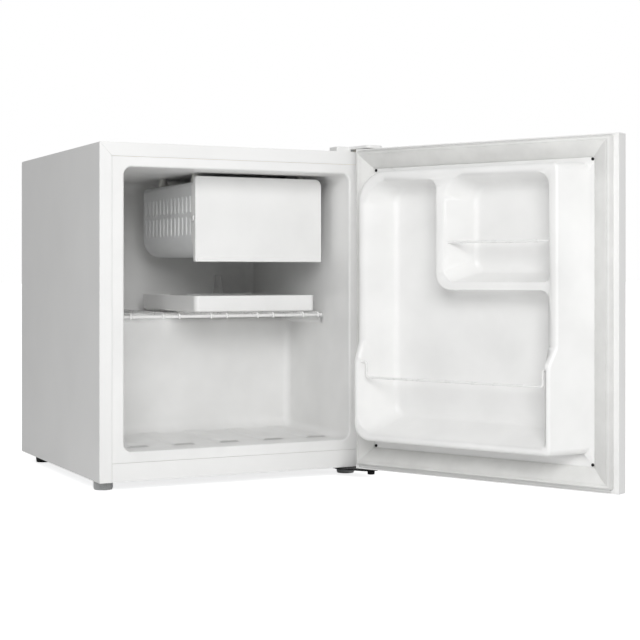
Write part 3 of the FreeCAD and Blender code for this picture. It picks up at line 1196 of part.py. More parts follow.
def rack_pocket(grow):
    """The upper rack's own pocket."""
    g = grow * DRAFT_OFFSET
    s = (RACK_INNER - g, POCKET_FREE + g)
    z = (RACK_FLOOR - g, POCKET_TOP + g)
    high = [(s[0], z[0], 18 + g), (s[1], z[0], 6 + g), (s[1], z[1], 20 + g), (s[0], z[1], 30 + g)]
    s = (s[0] + RACK_DRAFT, s[1] - FREE_DRAFT)
    z = (z[0] + RACK_DRAFT_LOW, z[1] - TOP_DRAFT)
    low = [(s[0], z[0], 18 + g), (s[1], z[0], 18 + g), (s[1], z[1], 20 + g), (s[0], z[1], 24 + g)]
    return pocket(low, high, DYKE_HIGH, grow)


def liner_form(inset):
    """Everything under the door liner's face, or under the same face lowered by its thickness."""
    slab = door_box((LINER_EDGE, WIDTH - LINER_EDGE), (-10, -inset),
                    (DOOR_BOTTOM + 2.3, DOOR_TOP - 2.3))
    block = slab.fuse(raised_block(inset))
    return block.cut(main_pocket(inset)).cut(rack_pocket(inset))


def door_liner():
    """One formed plastic sheet with the door's racks and pockets."""
    shell = liner_form(0).cut(liner_form(LINER))
    room = door_box((0, WIDTH), (-LINER, DYKE_LOW + 5), (DOOR_BOTTOM, DOOR_TOP))
    room = room.fuse(door_box((DYKE_HINGE + 1, DYKE_FREE - 1), (-9, DYKE_LOW),
                              (DYKE_BOTTOM + 1, DYKE_TOP - 1)))
    liner = shell.common(room)
    for s, z in LINER_SCREWS:
        liner = liner.cut(cylinder(door_point(s, -5, z), door_point(s, 5, z), LINER_SCREW_HOLE))
    for tool in bar_holes():
        liner = liner.cut(tool)
    return max(liner.Solids, key=lambda solid: solid.Volume)


def bar_holes():
    """Bores in the pocket walls for the rack rod's and the lower rail's ends."""
    clear = RUNNING_GAP
    return [cylinder(door_point(RACK_INNER - 7, ROD_OUT, ROD_Z), door_point(POCKET_FREE + 6, ROD_OUT, ROD_Z),
                     ROD_RADIUS + clear),
            cylinder(door_point(POCKET_HINGE - 7, RAIL_OUT, RAIL_PIVOT_Z),
                     door_point(POCKET_FREE + 6, RAIL_OUT, RAIL_PIVOT_Z), RAIL_RADIUS + clear)]


def door_foam():
    """Rigid foam between the panel and the liner, filling the raised walls too."""
    low, high = DOOR_BOTTOM + CAP_HEIGHT, DOOR_TOP - CAP_HEIGHT
    core = panel_block(SHEET, -LINER, low, high)
    core = core.cut(door_box((0, WIDTH), (-LINER - 0.01, 5), (low - 1, high + 1)))
    form = liner_form(LINER).common(door_box((LINER_EDGE, WIDTH - LINER_EDGE), (-10, DYKE_LOW), (low, high)))
    foam = core.cut(main_pocket(LINER)).cut(rack_pocket(LINER)).fuse(form).removeSplitter()
    for s, z in LINER_SCREWS:
        foam = foam.cut(cylinder(door_point(s, -12, z), door_point(s, 5, z), LINER_SCREW_HOLE))
    for tool in bar_holes():
        foam = foam.cut(tool)
    return max(foam.Solids, key=lambda solid: solid.Volume)


def door_gasket():
    """Soft magnetic seal: a frame with a wide foot and a narrower cushion."""
    s = (GASKET_NEAR, GASKET_FAR)
    z = (GASKET_LOW, GASKET_HIGH)
    w = GASKET_WIDTH
    parts = []
    for out, margin in (((0.05, 4.0), 0.0), ((3.0, GASKET_THICK), 4.0)):
        outer = prism(rectangle((s[0] + margin, s[1] - margin), (z[0] + margin, z[1] - margin), 3),
                      door_place(out[0]), (0, out[1] - out[0], 0))
        hole = prism(rectangle((s[0] + w - margin, s[1] - w + margin), (z[0] + w - margin, z[1] - w + margin),
                               1.5), door_place(out[0] - 1), (0, out[1] + 5, 0))
        parts.append(outer.cut(hole))
    return joined(parts)


def gasket_screws():
    """Four small dark screws in the liner's corners."""
    return group([screw(door_point(s, 0.02, z), (0, -1, 0), 2.2, 1.4, 9) for s, z in LINER_SCREWS])


def upper_rack_rod():
    """Straight coated rod across the upper rack."""
    return cylinder(door_point(RACK_INNER - 6, ROD_OUT, ROD_Z),
                    door_point(POCKET_FREE + 5, ROD_OUT, ROD_Z), ROD_RADIUS)


def lower_rack_rail():
    """Cranked coated rail across the lower rack, hanging in its two end holes."""
    s = (POCKET_HINGE - 6, POCKET_HINGE + RAIL_CRANK, POCKET_FREE - RAIL_CRANK_FREE, POCKET_FREE + 5)
    z = (RAIL_PIVOT_Z, RAIL_RUN_Z)
    route = [(s[0], z[0]), (s[1], z[0]), (s[1], z[1]), (s[2], z[1]), (s[2], z[0]), (s[3], z[0])]
    return tube([door_point(along, RAIL_OUT, height) for along, height in route], RAIL_RADIUS, 4)


# ---- placing and export -------------------------------------------------------------------------
def swung(shape):
    """Turn a piece of the shut door to where the door rests, open."""
    turned = shape.copy()
    turned.rotate(V(PIN_X, PIN_Y, 0), V(0, 0, 1), DOOR_OPEN)
    return turned


def swung_point(x, y):
    """Where a point of the shut door lies when the door is open."""
    turn = math.radians(DOOR_OPEN)
    dx, dy = x - PIN_X, y - PIN_Y
    return (PIN_X + dx * math.cos(turn) - dy * math.sin(turn),
            PIN_Y + dx * math.sin(turn) + dy * math.cos(turn))


FAR_X = swung_point(0, -DOOR_GAP - DOOR_EDGE)[0]
FAR_Y = swung_point(0, -DOOR_GAP)[1]
HOME_X = FAR_X / 2
HOME_Y = (DEPTH + FAR_Y) / 2


def move_home(shape):
    """Shift from the cabinet's front left corner to the origin under the whole object's centre."""
    return shape.translated(V(-HOME_X, -HOME_Y, 0))


FIXED = {
    "cabinet_shell": cabinet_shell, "bottom_front_rail": bottom_front_rail, "base_plate": base_plate,
    "back_panel": back_panel, "compartment_wall": compartment_wall, "inner_liner": inner_liner,
    "cabinet_foam": cabinet_foam, "evaporator": evaporator, "evaporator_back": evaporator_back,
    "freezer_frame": freezer_frame, "evaporator_hangers": evaporator_hangers,
    "evaporator_screws": evaporator_screws, "freezer_door": freezer_door, "wire_shelf": wire_shelf,
    "drip_tray": drip_tray, "compressor_plate": compressor_plate, "compressor": compressor,
    "compressor_grommets": compressor_grommets, "compressor_bolts": compressor_bolts,
    "relay_cover": relay_cover, "discharge_tube": discharge_tube, "suction_tube": suction_tube,
    "dryer_filter": dryer_filter, "capillary_tube": capillary_tube, "condenser_tube": condenser_tube,
    "condenser_wires": condenser_wires, "condenser_clips": condenser_clips, "panel_screws": panel_screws,
    "condensate_pan": condensate_pan, "thermostat_housing": thermostat_housing,
    "thermostat_knob": thermostat_knob, "mains_gland": mains_gland, "foot_nuts": foot_nuts,
    "rear_feet": rear_feet, "top_hinge_bracket": top_hinge_bracket, "top_hinge_cover": top_hinge_cover,
    "top_hinge_screws": top_hinge_screws, "bottom_hinge_bracket": bottom_hinge_bracket,
    "bottom_hinge_screws": bottom_hinge_screws, "hinge_pin_bolt": hinge_pin_bolt,
}
ON_DOOR = {
    "door_skin": door_skin, "door_top_cap": door_top_cap, "door_bottom_cap": door_bottom_cap,
    "hinge_bushes": hinge_bushes, "door_liner": door_liner, "door_foam": door_foam,
    "door_gasket": door_gasket, "gasket_screws": gasket_screws, "upper_rack_rod": upper_rack_rod,
    "lower_rack_rail": lower_rack_rail,
}


def main():
    pieces = {name: make() for name, make in FIXED.items()}
    pieces["front_left_foot"] = front_foot(FOOT_X)
    pieces["front_right_foot"] = front_foot(WIDTH - FOOT_X)
    pieces.update({name: swung(make()) for name, make in ON_DOOR.items()})
    for name, shape in pieces.items():
        move_home(shape).exportStep("parts/" + name + ".step")


main()
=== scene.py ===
"""Looks of a compact refrigerator with its door open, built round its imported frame."""
import json
import math

import bmesh
import bpy
from mathutils import Matrix, Vector

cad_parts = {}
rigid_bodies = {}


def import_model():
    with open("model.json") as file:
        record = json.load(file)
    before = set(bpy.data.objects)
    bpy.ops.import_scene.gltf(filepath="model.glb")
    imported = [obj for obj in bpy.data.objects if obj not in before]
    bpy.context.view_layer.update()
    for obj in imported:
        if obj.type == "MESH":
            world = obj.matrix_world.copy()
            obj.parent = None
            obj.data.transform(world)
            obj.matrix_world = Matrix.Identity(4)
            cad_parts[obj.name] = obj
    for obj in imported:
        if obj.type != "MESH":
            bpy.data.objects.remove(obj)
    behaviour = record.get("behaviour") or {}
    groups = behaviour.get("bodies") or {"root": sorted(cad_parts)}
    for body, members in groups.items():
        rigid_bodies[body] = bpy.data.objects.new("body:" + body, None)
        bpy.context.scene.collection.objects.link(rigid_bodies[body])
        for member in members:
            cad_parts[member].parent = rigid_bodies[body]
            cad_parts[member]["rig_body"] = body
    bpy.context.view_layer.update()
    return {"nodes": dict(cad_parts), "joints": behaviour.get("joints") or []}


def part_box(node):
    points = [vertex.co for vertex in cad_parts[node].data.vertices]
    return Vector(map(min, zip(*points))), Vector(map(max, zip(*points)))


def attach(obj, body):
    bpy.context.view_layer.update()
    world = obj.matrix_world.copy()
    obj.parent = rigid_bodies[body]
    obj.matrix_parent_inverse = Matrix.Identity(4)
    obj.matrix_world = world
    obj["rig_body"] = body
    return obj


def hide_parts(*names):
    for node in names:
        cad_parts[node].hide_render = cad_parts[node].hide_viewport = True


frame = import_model()

bl_info = {
    "name": "Compact refrigerator",
    "version": (1, 0, 0),
    "blender": (4, 5, 0),
    "location": "3D View > Sidebar > Refrigerator",
    "description": "Builds the visible pieces and finishes of a compact refrigerator",
    "category": "Object",
}

MM = 0.001


# ---- door axes ----------------------------------------------------------------------------------
DOOR_HINGE = next(joint for joint in frame["joints"] if joint["name"] == "door_hinge")
DOOR_TURN = math.radians(-DOOR_HINGE["range_deg"][0])      # how far the door stands open at rest
PIN = Vector(DOOR_HINGE["pos_m"][:2] + [0])
ALONG = Vector((-math.cos(DOOR_TURN), -math.sin(DOOR_TURN), 0))     # from the hinge to the free edge
INWARD = Vector((-math.sin(DOOR_TURN), math.cos(DOOR_TURN), 0))     # out of the door's inner face


def door_place(along, out, z):
    """A point given by its distances from the hinge pin along the door and out of its inner side."""
    return PIN + ALONG * along + INWARD * out + Vector((0, 0, z))


def door_extent(node):
    """The (low, high) ranges of a door node along the door, out of its inner side, and up."""
    spots = [(vertex.co - PIN) for vertex in frame["nodes"][node].data.vertices]
    readings = [(spot.dot(ALONG), spot.dot(INWARD), spot.z) for spot in spots]
    return [(min(values), max(values)) for values in zip(*readings)]


# ---- sizes and colours a user may change --------------------------------------------------------
class FridgeSizes(bpy.types.PropertyGroup):
    """Sizes of the details that are added to the frame."""
    edge_ease: bpy.props.FloatProperty(
        name="Edge rounding", description="Radius left on folded and moulded edges",
        default=0.0004, unit="LENGTH", precision=5)
    rib_count: bpy.props.IntProperty(
        name="Cooling box ribs", description="Pressed ribs in each row of the cooling box's sides",
        default=13)
    rib_width: bpy.props.FloatProperty(
        name="Rib width", description="Width of one pressed rib", default=0.0075, unit="LENGTH",
        precision=5)
    rib_rise: bpy.props.FloatProperty(
        name="Rib rise", description="How far a rib stands out of the sheet", default=0.0012,
        unit="LENGTH", precision=5)
    shelf_pitch: bpy.props.FloatProperty(
        name="Shelf pair pitch", description="Distance from one pair of shelf wires to the next",
        default=0.0784, unit="LENGTH", precision=5)
    condenser_wires: bpy.props.IntProperty(
        name="Condenser wires", description="Upright wires welded to the condenser", default=42)
    lens: bpy.props.FloatProperty(
        name="Lens", description="Focal length of the camera, in millimetres", default=80.9)


class FridgeColours(bpy.types.PropertyGroup):
    """Main colours, as sRGB hex codes."""
    enamel: bpy.props.StringProperty(
        name="Enamel", description="Baked enamel of the case and the door", default="#F3F3F2")
    liner: bpy.props.StringProperty(
        name="Liner", description="Formed polystyrene of the cold space and the door", default="#F5F5F4")
    plastic: bpy.props.StringProperty(
        name="White plastic", description="Moulded flap, caps, cover, tray and knob", default="#F4F4F3")
    gasket: bpy.props.StringProperty(
        name="Gasket", description="Soft vinyl of the door seal", default="#E6E6E4")
    foot: bpy.props.StringProperty(
        name="Feet", description="Moulded plastic of the levelling feet", default="#D6D7D7")


# ---- node helpers -------------------------------------------------------------------------------
def linear(code):
    """An sRGB hex colour as linear red, green, blue and alpha."""
    parts = [int(code[i:i + 2], 16) / 255 for i in (1, 3, 5)]
    return tuple(p / 12.92 if p <= 0.04045 else ((p + 0.055) / 1.055) ** 2.4 for p in parts) + (1.0,)


def add(tree, kind, inputs=None, **settings):
    """Add one node; each input is a value, or the socket that feeds it."""
    item = tree.nodes.new(kind)
    for key, value in settings.items():
        setattr(item, key, value)
    for key, value in (inputs or {}).items():
        if isinstance(value, bpy.types.NodeSocket):
            tree.links.new(value, item.inputs[key])
        else:
            item.inputs[key].default_value = value
    return item


MIX_FACTOR, MIX_FIRST, MIX_SECOND, MIX_COLOUR = 0, 6, 7, 2      # sockets of a colour mix


def blend_of(tree, share, first, second):
    """Two colours mixed by a share."""
    mix = add(tree, "ShaderNodeMix", {MIX_FACTOR: share, MIX_FIRST: first, MIX_SECOND: second},
              data_type="RGBA")
    return mix.outputs[MIX_COLOUR]


def noise(tree, place, size, detail=2.0, stretch=None):
    """Noise whose blotches are about one size across, in metres; stretch lengthens them along an axis."""
    if stretch:
        place = add(tree, "ShaderNodeMapping", {"Vector": place, "Scale": stretch}).outputs["Vector"]
    field = add(tree, "ShaderNodeTexNoise", {"Vector": place, "Scale": 1 / size, "Detail": detail})
    return field.outputs["Fac"]


def spread(tree, value, low, high):
    """A noise value, which keeps near its middle, spread over a range."""
    return add(tree, "ShaderNodeMapRange", {"Value": value, "From Min": 0.3, "From Max": 0.7,
                                            "To Min": low, "To Max": high}).outputs["Result"]


def surface(name, tints, rough, grain, wave=None, patch=0.12, stretch=None, pattern=None, **shader):
    """A finish whose colour, gloss and relief vary over the piece.

    tints are two sRGB colours that meet in patches, and rough is the range of roughness. grain and wave
    are (size, height) of the fine and the broad relief, in metres. pattern may add its own relief.
    """
    made = bpy.data.materials.new(name)
    made.use_nodes = True
    tree = made.node_tree
    tree.nodes.clear()
    place = add(tree, "ShaderNodeTexCoord").outputs["Object"]
    colour = blend_of(tree, spread(tree, noise(tree, place, patch, 3.0), 0.0, 1.0),
                      linear(tints[0]), linear(tints[1]))
    gloss = spread(tree, noise(tree, place, patch * 0.4, 4.0, stretch), rough[0], rough[1])
    height = noise(tree, place, grain[0], 2.0, stretch)
    relief = add(tree, "ShaderNodeBump", {"Height": height, "Distance": grain[1], "Strength": 1.0})
    if wave:
        relief = add(tree, "ShaderNodeBump", {"Height": noise(tree, place, wave[0], 1.0), "Strength": 1.0,
                                              "Distance": wave[1], "Normal": relief.outputs["Normal"]})
    normal = relief.outputs["Normal"]
    if pattern:
        colour, gloss, normal = pattern(tree, place, colour, gloss, normal)
    lit = add(tree, "ShaderNodeBsdfPrincipled",
              {"Base Color": colour, "Roughness": gloss, "Normal": normal, **shader})
    add(tree, "ShaderNodeOutputMaterial", {"Surface": lit.outputs["BSDF"]})
    return made


# ---- finishes -----------------------------------------------------------------------------------
CRYSTAL = 0.011                             # across one zinc crystal, in metres
FOAM_CELL, FOAM_DEPTH = 0.0022, 0.0006      # across and into one cut cell of the foam


def baked_enamel(colours):
    """Baked enamel on steel sheet: a smooth gloss with faint orange peel and slightly uneven flats."""
    # Real orange peel is about 1 mm across; 3 mm is the finest that shows at arm's length.
    return surface("baked_enamel_steel", (colours.enamel, "#EFEFEE"), (0.30, 0.38),
                   (0.003, 0.000008), (0.16, 0.0004), **{"Coat Weight": 0.25, "Coat Roughness": 0.22})


def formed_polystyrene(colours):
    """Vacuum-formed polystyrene sheet: satin, with soft waves where it stretched over the mould."""
    return surface("vacuum_formed_polystyrene", (colours.liner, "#ECECEB"), (0.34, 0.46),
                   (0.0022, 0.00001), (0.05, 0.00022), patch=0.09,
                   **{"Specular IOR Level": 0.5, "IOR": 1.59})


def moulded_polystyrene(colours):
    """Injection-moulded polystyrene: even satin with the mould's fine spark-eroded grain."""
    return surface("injection_moulded_polystyrene", (colours.plastic, "#F0F0EF"), (0.36, 0.46),
                   (0.0009, 0.00002), (0.08, 0.00012), patch=0.05, **{"IOR": 1.57})


def soft_vinyl(colours):
    """Soft PVC extrusion: a dull skin with faint drawn lines and a little dust in it."""
    return surface("soft_vinyl_seal", (colours.gasket, "#DDDDDB"), (0.5, 0.66),
                   (0.0012, 0.00003), (0.03, 0.0001), patch=0.03, **{"IOR": 1.54, "Sheen Weight": 0.08})


def rolled_aluminium(colours):
    """Mill-finish aluminium sheet under a clear varnish: soft grey streaks along the rolling direction."""
    return surface("varnished_rolled_aluminium", ("#EDEEEE", "#E6E7E8"), (0.42, 0.58),
                   (0.0012, 0.00001), (0.06, 0.0001), patch=0.05, stretch=(1.0, 0.08, 1.0), Metallic=0.04)


def coated_wire(colours):
    """Steel wire dipped in white polyethylene: a thick, rounded, slightly waxy gloss."""
    return surface("polyethylene_coated_wire", ("#F2F2F1", "#E9E9E8"), (0.24, 0.36),
                   (0.0025, 0.00003), patch=0.02, **{"Coat Weight": 0.3, "Coat Roughness": 0.2})


def zinc_plating(colours):
    """Passivated zinc plate on hardware: pale grey metal with a blue-yellow cast in patches."""
    return surface("passivated_zinc_plate", ("#C9CDD2", "#CFC9B8"), (0.28, 0.42),
                   (0.0006, 0.000006), patch=0.008, Metallic=1.0)


def spangle(tree, place, colour, gloss, normal):
    """Crystals of the zinc bath, each with its own shade and gloss."""
    crystals = add(tree, "ShaderNodeTexVoronoi", {"Vector": place, "Scale": 1 / CRYSTAL})
    shares = add(tree, "ShaderNodeSeparateColor", {"Color": crystals.outputs["Color"]})
    colour = blend_of(tree, shares.outputs["Red"], colour, linear("#A9AEB2"))
    gloss = spread(tree, shares.outputs["Green"], 0.3, 0.5)
    return colour, gloss, normal


def galvanised(colours):
    """Hot-dip galvanised sheet: the zinc's crystals show as a grey spangle about 11 mm across."""
    return surface("hot_dip_galvanised_sheet", ("#C4C8CA", "#B6BABD"), (0.3, 0.5),
                   (0.002, 0.000008), (0.12, 0.0003), Metallic=1.0, pattern=spangle)


def black_enamel(colours):
    """Stoved black enamel over pressed steel: deep gloss, a little thick and uneven."""
    return surface("stoved_black_enamel", ("#141415", "#1C1C1D"), (0.22, 0.4),
                   (0.004, 0.00002), (0.02, 0.00006), patch=0.04,
                   **{"Coat Weight": 0.4, "Coat Roughness": 0.15})


def black_oxide(colours):
    """Oil-blackened steel of the lower hinge: near black, dull, with rubbed grey patches."""
    return surface("oil_blackened_steel", ("#1B1B1C", "#3A3A3B"), (0.38, 0.58),
                   (0.0007, 0.00001), patch=0.006, Metallic=0.8)


def drawn_copper(colours):
    """Drawn copper tube: warm metal, browner where hands and heat have touched it."""
    return surface("drawn_copper_tube", ("#D98A62", "#9C5A3C"), (0.22, 0.42),
                   (0.001, 0.000006), patch=0.03, Metallic=1.0)


def moulded_rubber(colours):
    """Moulded nitrile rubber: dead black and dull, with a faint bloom."""
    return surface("moulded_nitrile_rubber", ("#161616", "#242423"), (0.66, 0.82),
                   (0.001, 0.00003), patch=0.01, **{"IOR": 1.52})


def black_nylon(colours):
    """Glass-filled black nylon: dull with a speckled moulding skin."""
    return surface("glass_filled_nylon", ("#1A1A1B", "#252526"), (0.46, 0.6),
                   (0.0009, 0.00003), patch=0.012, **{"IOR": 1.53})


def grey_polypropylene(colours):
    """Moulded grey polypropylene of the levelling feet: waxy and scuffed."""
    return surface("moulded_grey_polypropylene", (colours.foot, "#C6C8C8"), (0.42, 0.6),
                   (0.0009, 0.00003), patch=0.01, **{"IOR": 1.49})


def natural_acetal(colours):
    """Unfilled acetal: milky white with a low, greasy gloss."""
    return surface("natural_acetal", ("#EDEDE8", "#E2E2DC"), (0.3, 0.42),
                   (0.001, 0.00001), patch=0.01, **{"IOR": 1.48})


def cells(tree, place, colour, gloss, normal):
    """Cut cells of the foam."""
    pores = add(tree, "ShaderNodeTexVoronoi", {"Vector": place, "Scale": 1 / FOAM_CELL})
    relief = add(tree, "ShaderNodeBump", {"Height": pores.outputs["Distance"], "Distance": FOAM_DEPTH,
                                          "Strength": 1.0, "Normal": normal})
    return colour, gloss, relief.outputs["Normal"]


def rigid_foam(colours):
    """Rigid polyurethane foam: straw-coloured and open-celled where it is cut."""
    return surface("rigid_polyurethane_foam", ("#E3D3A2", "#D3BF88"), (0.8, 0.92),
                   (0.004, 0.0002), patch=0.04, pattern=cells)


FINISHES = {}


def finish(maker):
    """The material that a finish function makes, made once."""
    if maker.__name__ not in FINISHES:
        FINISHES[maker.__name__] = maker(bpy.context.scene.fridge_colours)
    return FINISHES[maker.__name__]


# ---- mesh helpers -------------------------------------------------------------------------------
def new_piece(name, mesh, maker):
    """An object at the origin that holds a finished mesh with one finish."""
    piece = bpy.data.objects.new(name, mesh)
    bpy.context.scene.collection.objects.link(piece)
    mesh.materials.clear()
    mesh.materials.append(finish(maker))
    return piece


def settle(piece):
    """Apply a piece's modifiers for good."""
    depsgraph = bpy.context.evaluated_depsgraph_get()
    mesh = bpy.data.meshes.new_from_object(piece.evaluated_get(depsgraph))
    piece.modifiers.clear()
    piece.data = mesh


def shade(mesh, crease=32.0):
    """Smooth shading, with edges sharper than the crease left hard."""
    mesh.shade_smooth()
    mesh.set_sharp_from_angle(angle=math.radians(crease))


def mesh_of(work, name):
    """Turn a bmesh into a mesh with its faces outwards, and free it."""
    bmesh.ops.remove_doubles(work, verts=work.verts, dist=1e-6)
    bmesh.ops.recalc_face_normals(work, faces=work.faces)
    mesh = bpy.data.meshes.new(name)
    work.to_mesh(mesh)
    work.free()
    return mesh


WELD = 2e-6                 # loose corners of the frame's triangles closer than this are one corner
FLAT = math.radians(0.05)   # triangles turned less than this lie in one face


def stand_in(node, maker, ease=None, crease=32.0):
    """Put a welded, smooth copy in a frame node's place, its edges eased and its flats evenly shaded."""
    source = frame["nodes"][node]
    work = bmesh.new()
    work.from_mesh(source.data)
    bmesh.ops.remove_doubles(work, verts=work.verts, dist=WELD)
    if ease:
        bmesh.ops.dissolve_limit(work, angle_limit=FLAT, verts=work.verts, edges=work.edges)
    mesh = bpy.data.meshes.new(node + "_finished")
    work.to_mesh(mesh)
    work.free()
    piece = new_piece(node + "_finished", mesh, maker)
    if ease:
        round_off = piece.modifiers.new("ease", "BEVEL")
        round_off.width = ease
        round_off.segments = 2
        round_off.limit_method = "ANGLE"
        round_off.angle_limit = math.radians(crease)
        settle(piece)
    shade(piece.data, crease)
    even = piece.modifiers.new("even", "WEIGHTED_NORMAL")
    even.keep_sharp = True
    settle(piece)
    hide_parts(node)
    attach(piece, source["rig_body"])
    return piece


def stand_for(piece, node, *others):
    """Let a newly built piece stand for frame nodes, on the first one's body."""
    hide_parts(node, *others)
    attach(piece, frame["nodes"][node]["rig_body"])


def repaint(node, maker):
    """Give a frame node that stays as it is a better finish."""
    for holder in frame["nodes"][node].material_slots:
        holder.material = finish(maker)


def rod_mesh(name, points, radius, bend, sides=12):
    """A round bar along straight runs joined by bends, as a mesh."""
    path = [points[0]]
    for before, here, after in zip(points, points[1:], points[2:]):
        inbound, outbound = (before - here).normalized(), (after - here).normalized()
        half = inbound.angle(outbound) / 2
        reach = bend / math.tan(half)
        centre = here + (inbound + outbound).normalized() * (bend / math.sin(half))
        start, end = here + inbound * reach - centre, here + outbound * reach - centre
        steps = 6
        for i in range(steps + 1):
            path.append(centre + start.slerp(end, i / steps).normalized() * bend)
    path.append(points[-1])
    curve = bpy.data.curves.new(name, "CURVE")
    curve.dimensions = "3D"
    curve.bevel_depth = radius
    curve.bevel_resolution = sides // 4 - 1
    curve.use_fill_caps = True
    run = curve.splines.new("POLY")
    run.points.add(len(path) - 1)
    for point, spot in zip(run.points, path):
        point.co = (*spot, 1)
    holder = bpy.data.objects.new(name, curve)
    mesh = bpy.data.meshes.new_from_object(holder)
    bpy.data.objects.remove(holder)
    shade(mesh, 40)
    return mesh


# ---- geometry trees -----------------------------------------------------------------------------
def new_tree(name, inputs):
    """A geometry tree with named inputs, and the sockets that give their values."""
    tree = bpy.data.node_groups.new(name, "GeometryNodeTree")
    tree.interface.new_socket("Geometry", in_out="INPUT", socket_type="NodeSocketGeometry")
    for label, kind in inputs:
        tree.interface.new_socket(label, in_out="INPUT", socket_type=kind)
    tree.interface.new_socket("Geometry", in_out="OUTPUT", socket_type="NodeSocketGeometry")
    return tree, tree.nodes.new("NodeGroupInput").outputs


def end_tree(tree, spots, given):
    """Set the item on each spot, make it real geometry and give it its finish."""
    item = add(tree, "GeometryNodeObjectInfo", {"Object": given["Item"], "As Instance": True})
    put = add(tree, "GeometryNodeInstanceOnPoints", {"Points": spots, "Instance": item.outputs["Geometry"]})
    real = add(tree, "GeometryNodeRealizeInstances", {"Geometry": put.outputs["Instances"]})
    painted = add(tree, "GeometryNodeSetMaterial", {"Geometry": real.outputs["Geometry"],
                                                    "Material": given["Finish"]})
    add(tree, "NodeGroupOutput", {"Geometry": painted.outputs["Geometry"]})
    return tree


def row_tree():
    """An item repeated in a straight row, by a count and a step."""
    tree, given = new_tree("straight_row", [("Item", "NodeSocketObject"), ("Count", "NodeSocketInt"),
                                            ("Step", "NodeSocketVector"), ("Finish", "NodeSocketMaterial")])
    line = add(tree, "GeometryNodeMeshLine", {"Count": given["Count"], "Offset": given["Step"]})
    return end_tree(tree, line.outputs["Mesh"], given)


def spots_tree():
    """An item repeated on every corner of the mesh that carries the tree."""
    tree, given = new_tree("at_each_spot", [("Item", "NodeSocketObject"), ("Finish", "NodeSocketMaterial")])
    return end_tree(tree, given["Geometry"], given)


def repeat(tree, carrier, item_mesh, maker, **values):
    """Run a geometry tree on a carrier object and keep the result as its plain mesh."""
    item = bpy.data.objects.new("repeated_item", item_mesh)
    bpy.context.scene.collection.objects.link(item)
    modifier = carrier.modifiers.new(tree.name, "NODES")
    modifier.node_group = tree
    values.update(Item=item, Finish=finish(maker))
    for socket in tree.interface.items_tree:
        if socket.in_out == "INPUT" and socket.name in values:
            modifier[socket.identifier] = values[socket.name]
    settle(carrier)
    bpy.data.objects.remove(item)
    shade(carrier.data)
    return carrier


def in_row(name, item_mesh, maker, count, step):
    """One mesh piece that repeats an item in a row."""
    carrier = new_piece(name, bpy.data.meshes.new(name), maker)
    return repeat(row_tree(), carrier, item_mesh, maker, Count=count, Step=step)


def on_spots(name, item_mesh, maker, spots):
    """One mesh piece that repeats an item at a list of places."""
    mesh = bpy.data.meshes.new(name)
    mesh.from_pydata([tuple(spot) for spot in spots], [], [])
    carrier = new_piece(name, mesh, maker)
    return repeat(spots_tree(), carrier, item_mesh, maker)


def joined(name, pieces):
    """Several pieces of one finish as a single piece."""
    work = bmesh.new()
    for piece in pieces:
        work.from_mesh(piece.data)
    mesh = bpy.data.meshes.new(name)
    work.to_mesh(mesh)
    work.free()
    mesh.materials.append(pieces[0].data.materials[0])
    for piece in pieces:
        bpy.data.objects.remove(piece)
    whole = bpy.data.objects.new(name, mesh)
    bpy.context.scene.collection.objects.link(whole)
    shade(mesh)
    return whole


# ---- case ---------------------------------------------------------------------------------------
def build_case(sizes):
    stand_in("cabinet_shell", baked_enamel, sizes.edge_ease)
    stand_in("bottom_front_rail", baked_enamel, sizes.edge_ease)
    stand_in("inner_liner", formed_polystyrene)
    for node in ("base_plate", "back_panel", "compartment_wall", "compressor_plate"):
        stand_in(node, galvanised, sizes.edge_ease)
    repaint("cabinet_foam", rigid_foam)
    repaint("foot_nuts", zinc_plating)


# ---- cooling box --------------------------------------------------------------------------------
SHEET, SHEET_ROLL = 1.6 * MM, 0.5 * MM      # thickness of the sheet, and the rounding of its mouth
BOX_LOW_ROUND, BOX_HIGH_ROUND = 30 * MM, 8 * MM
RIB_MARGIN = 13 * MM                        # from the sheet's front and back edges to the ribs
RIB_ROWS = ((0.27, 0.545), (0.575, 0.82))   # shares of the box's height


def rib_mesh(rise, width, length, spread_axis):
    """A pressed rib: a low ridge with rounded ends, standing up along Z from its lower end."""
    work = bmesh.new()
    across, along = 8, 10
    rings = []
    for j in range(along + 1):
        end = abs(2 * j / along - 1)
        taper = math.sqrt(max(0.0, 1 - end ** 6))
        row = []
        for i in range(across + 1):
            lean = math.pi * i / across
            out = math.sin(lean) * rise * taper
            side = math.cos(lean) * width / 2 * taper
            row.append(work.verts.new(spread_axis * out + Vector((0, side, length * j / along))))
        rings.append(row)
    for low, high in zip(rings, rings[1:]):
        for i in range(across):
            work.faces.new((low[i], low[i + 1], high[i + 1], high[i]))
        work.faces.new((low[across], low[0], high[0], high[across]))
    return mesh_of(work, "rib")


def cooling_box_section(low, high, inset, low_round, high_round, steps=10):
    """Section of the cooling box as (x, z) points, large rounds below and small ones above."""
    x = (low.x + inset, high.x - inset)
    z = (low.z + inset, high.z - inset)
    corners = [(x[1], z[0], -90, low_round), (x[1], z[1], 0, high_round),
               (x[0], z[1], 90, high_round), (x[0], z[0], 180, low_round)]
    points = []
    for cx, cz, start, radius in corners:
        radius -= inset
        centre_x = cx + radius * (1 if cx == x[0] else -1)
        centre_z = cz + radius * (1 if cz == z[0] else -1)
        for i in range(steps + 1):
            turn = math.radians(start + 90 * i / steps)
            points.append((centre_x + radius * math.cos(turn), centre_z + radius * math.sin(turn)))
    return points


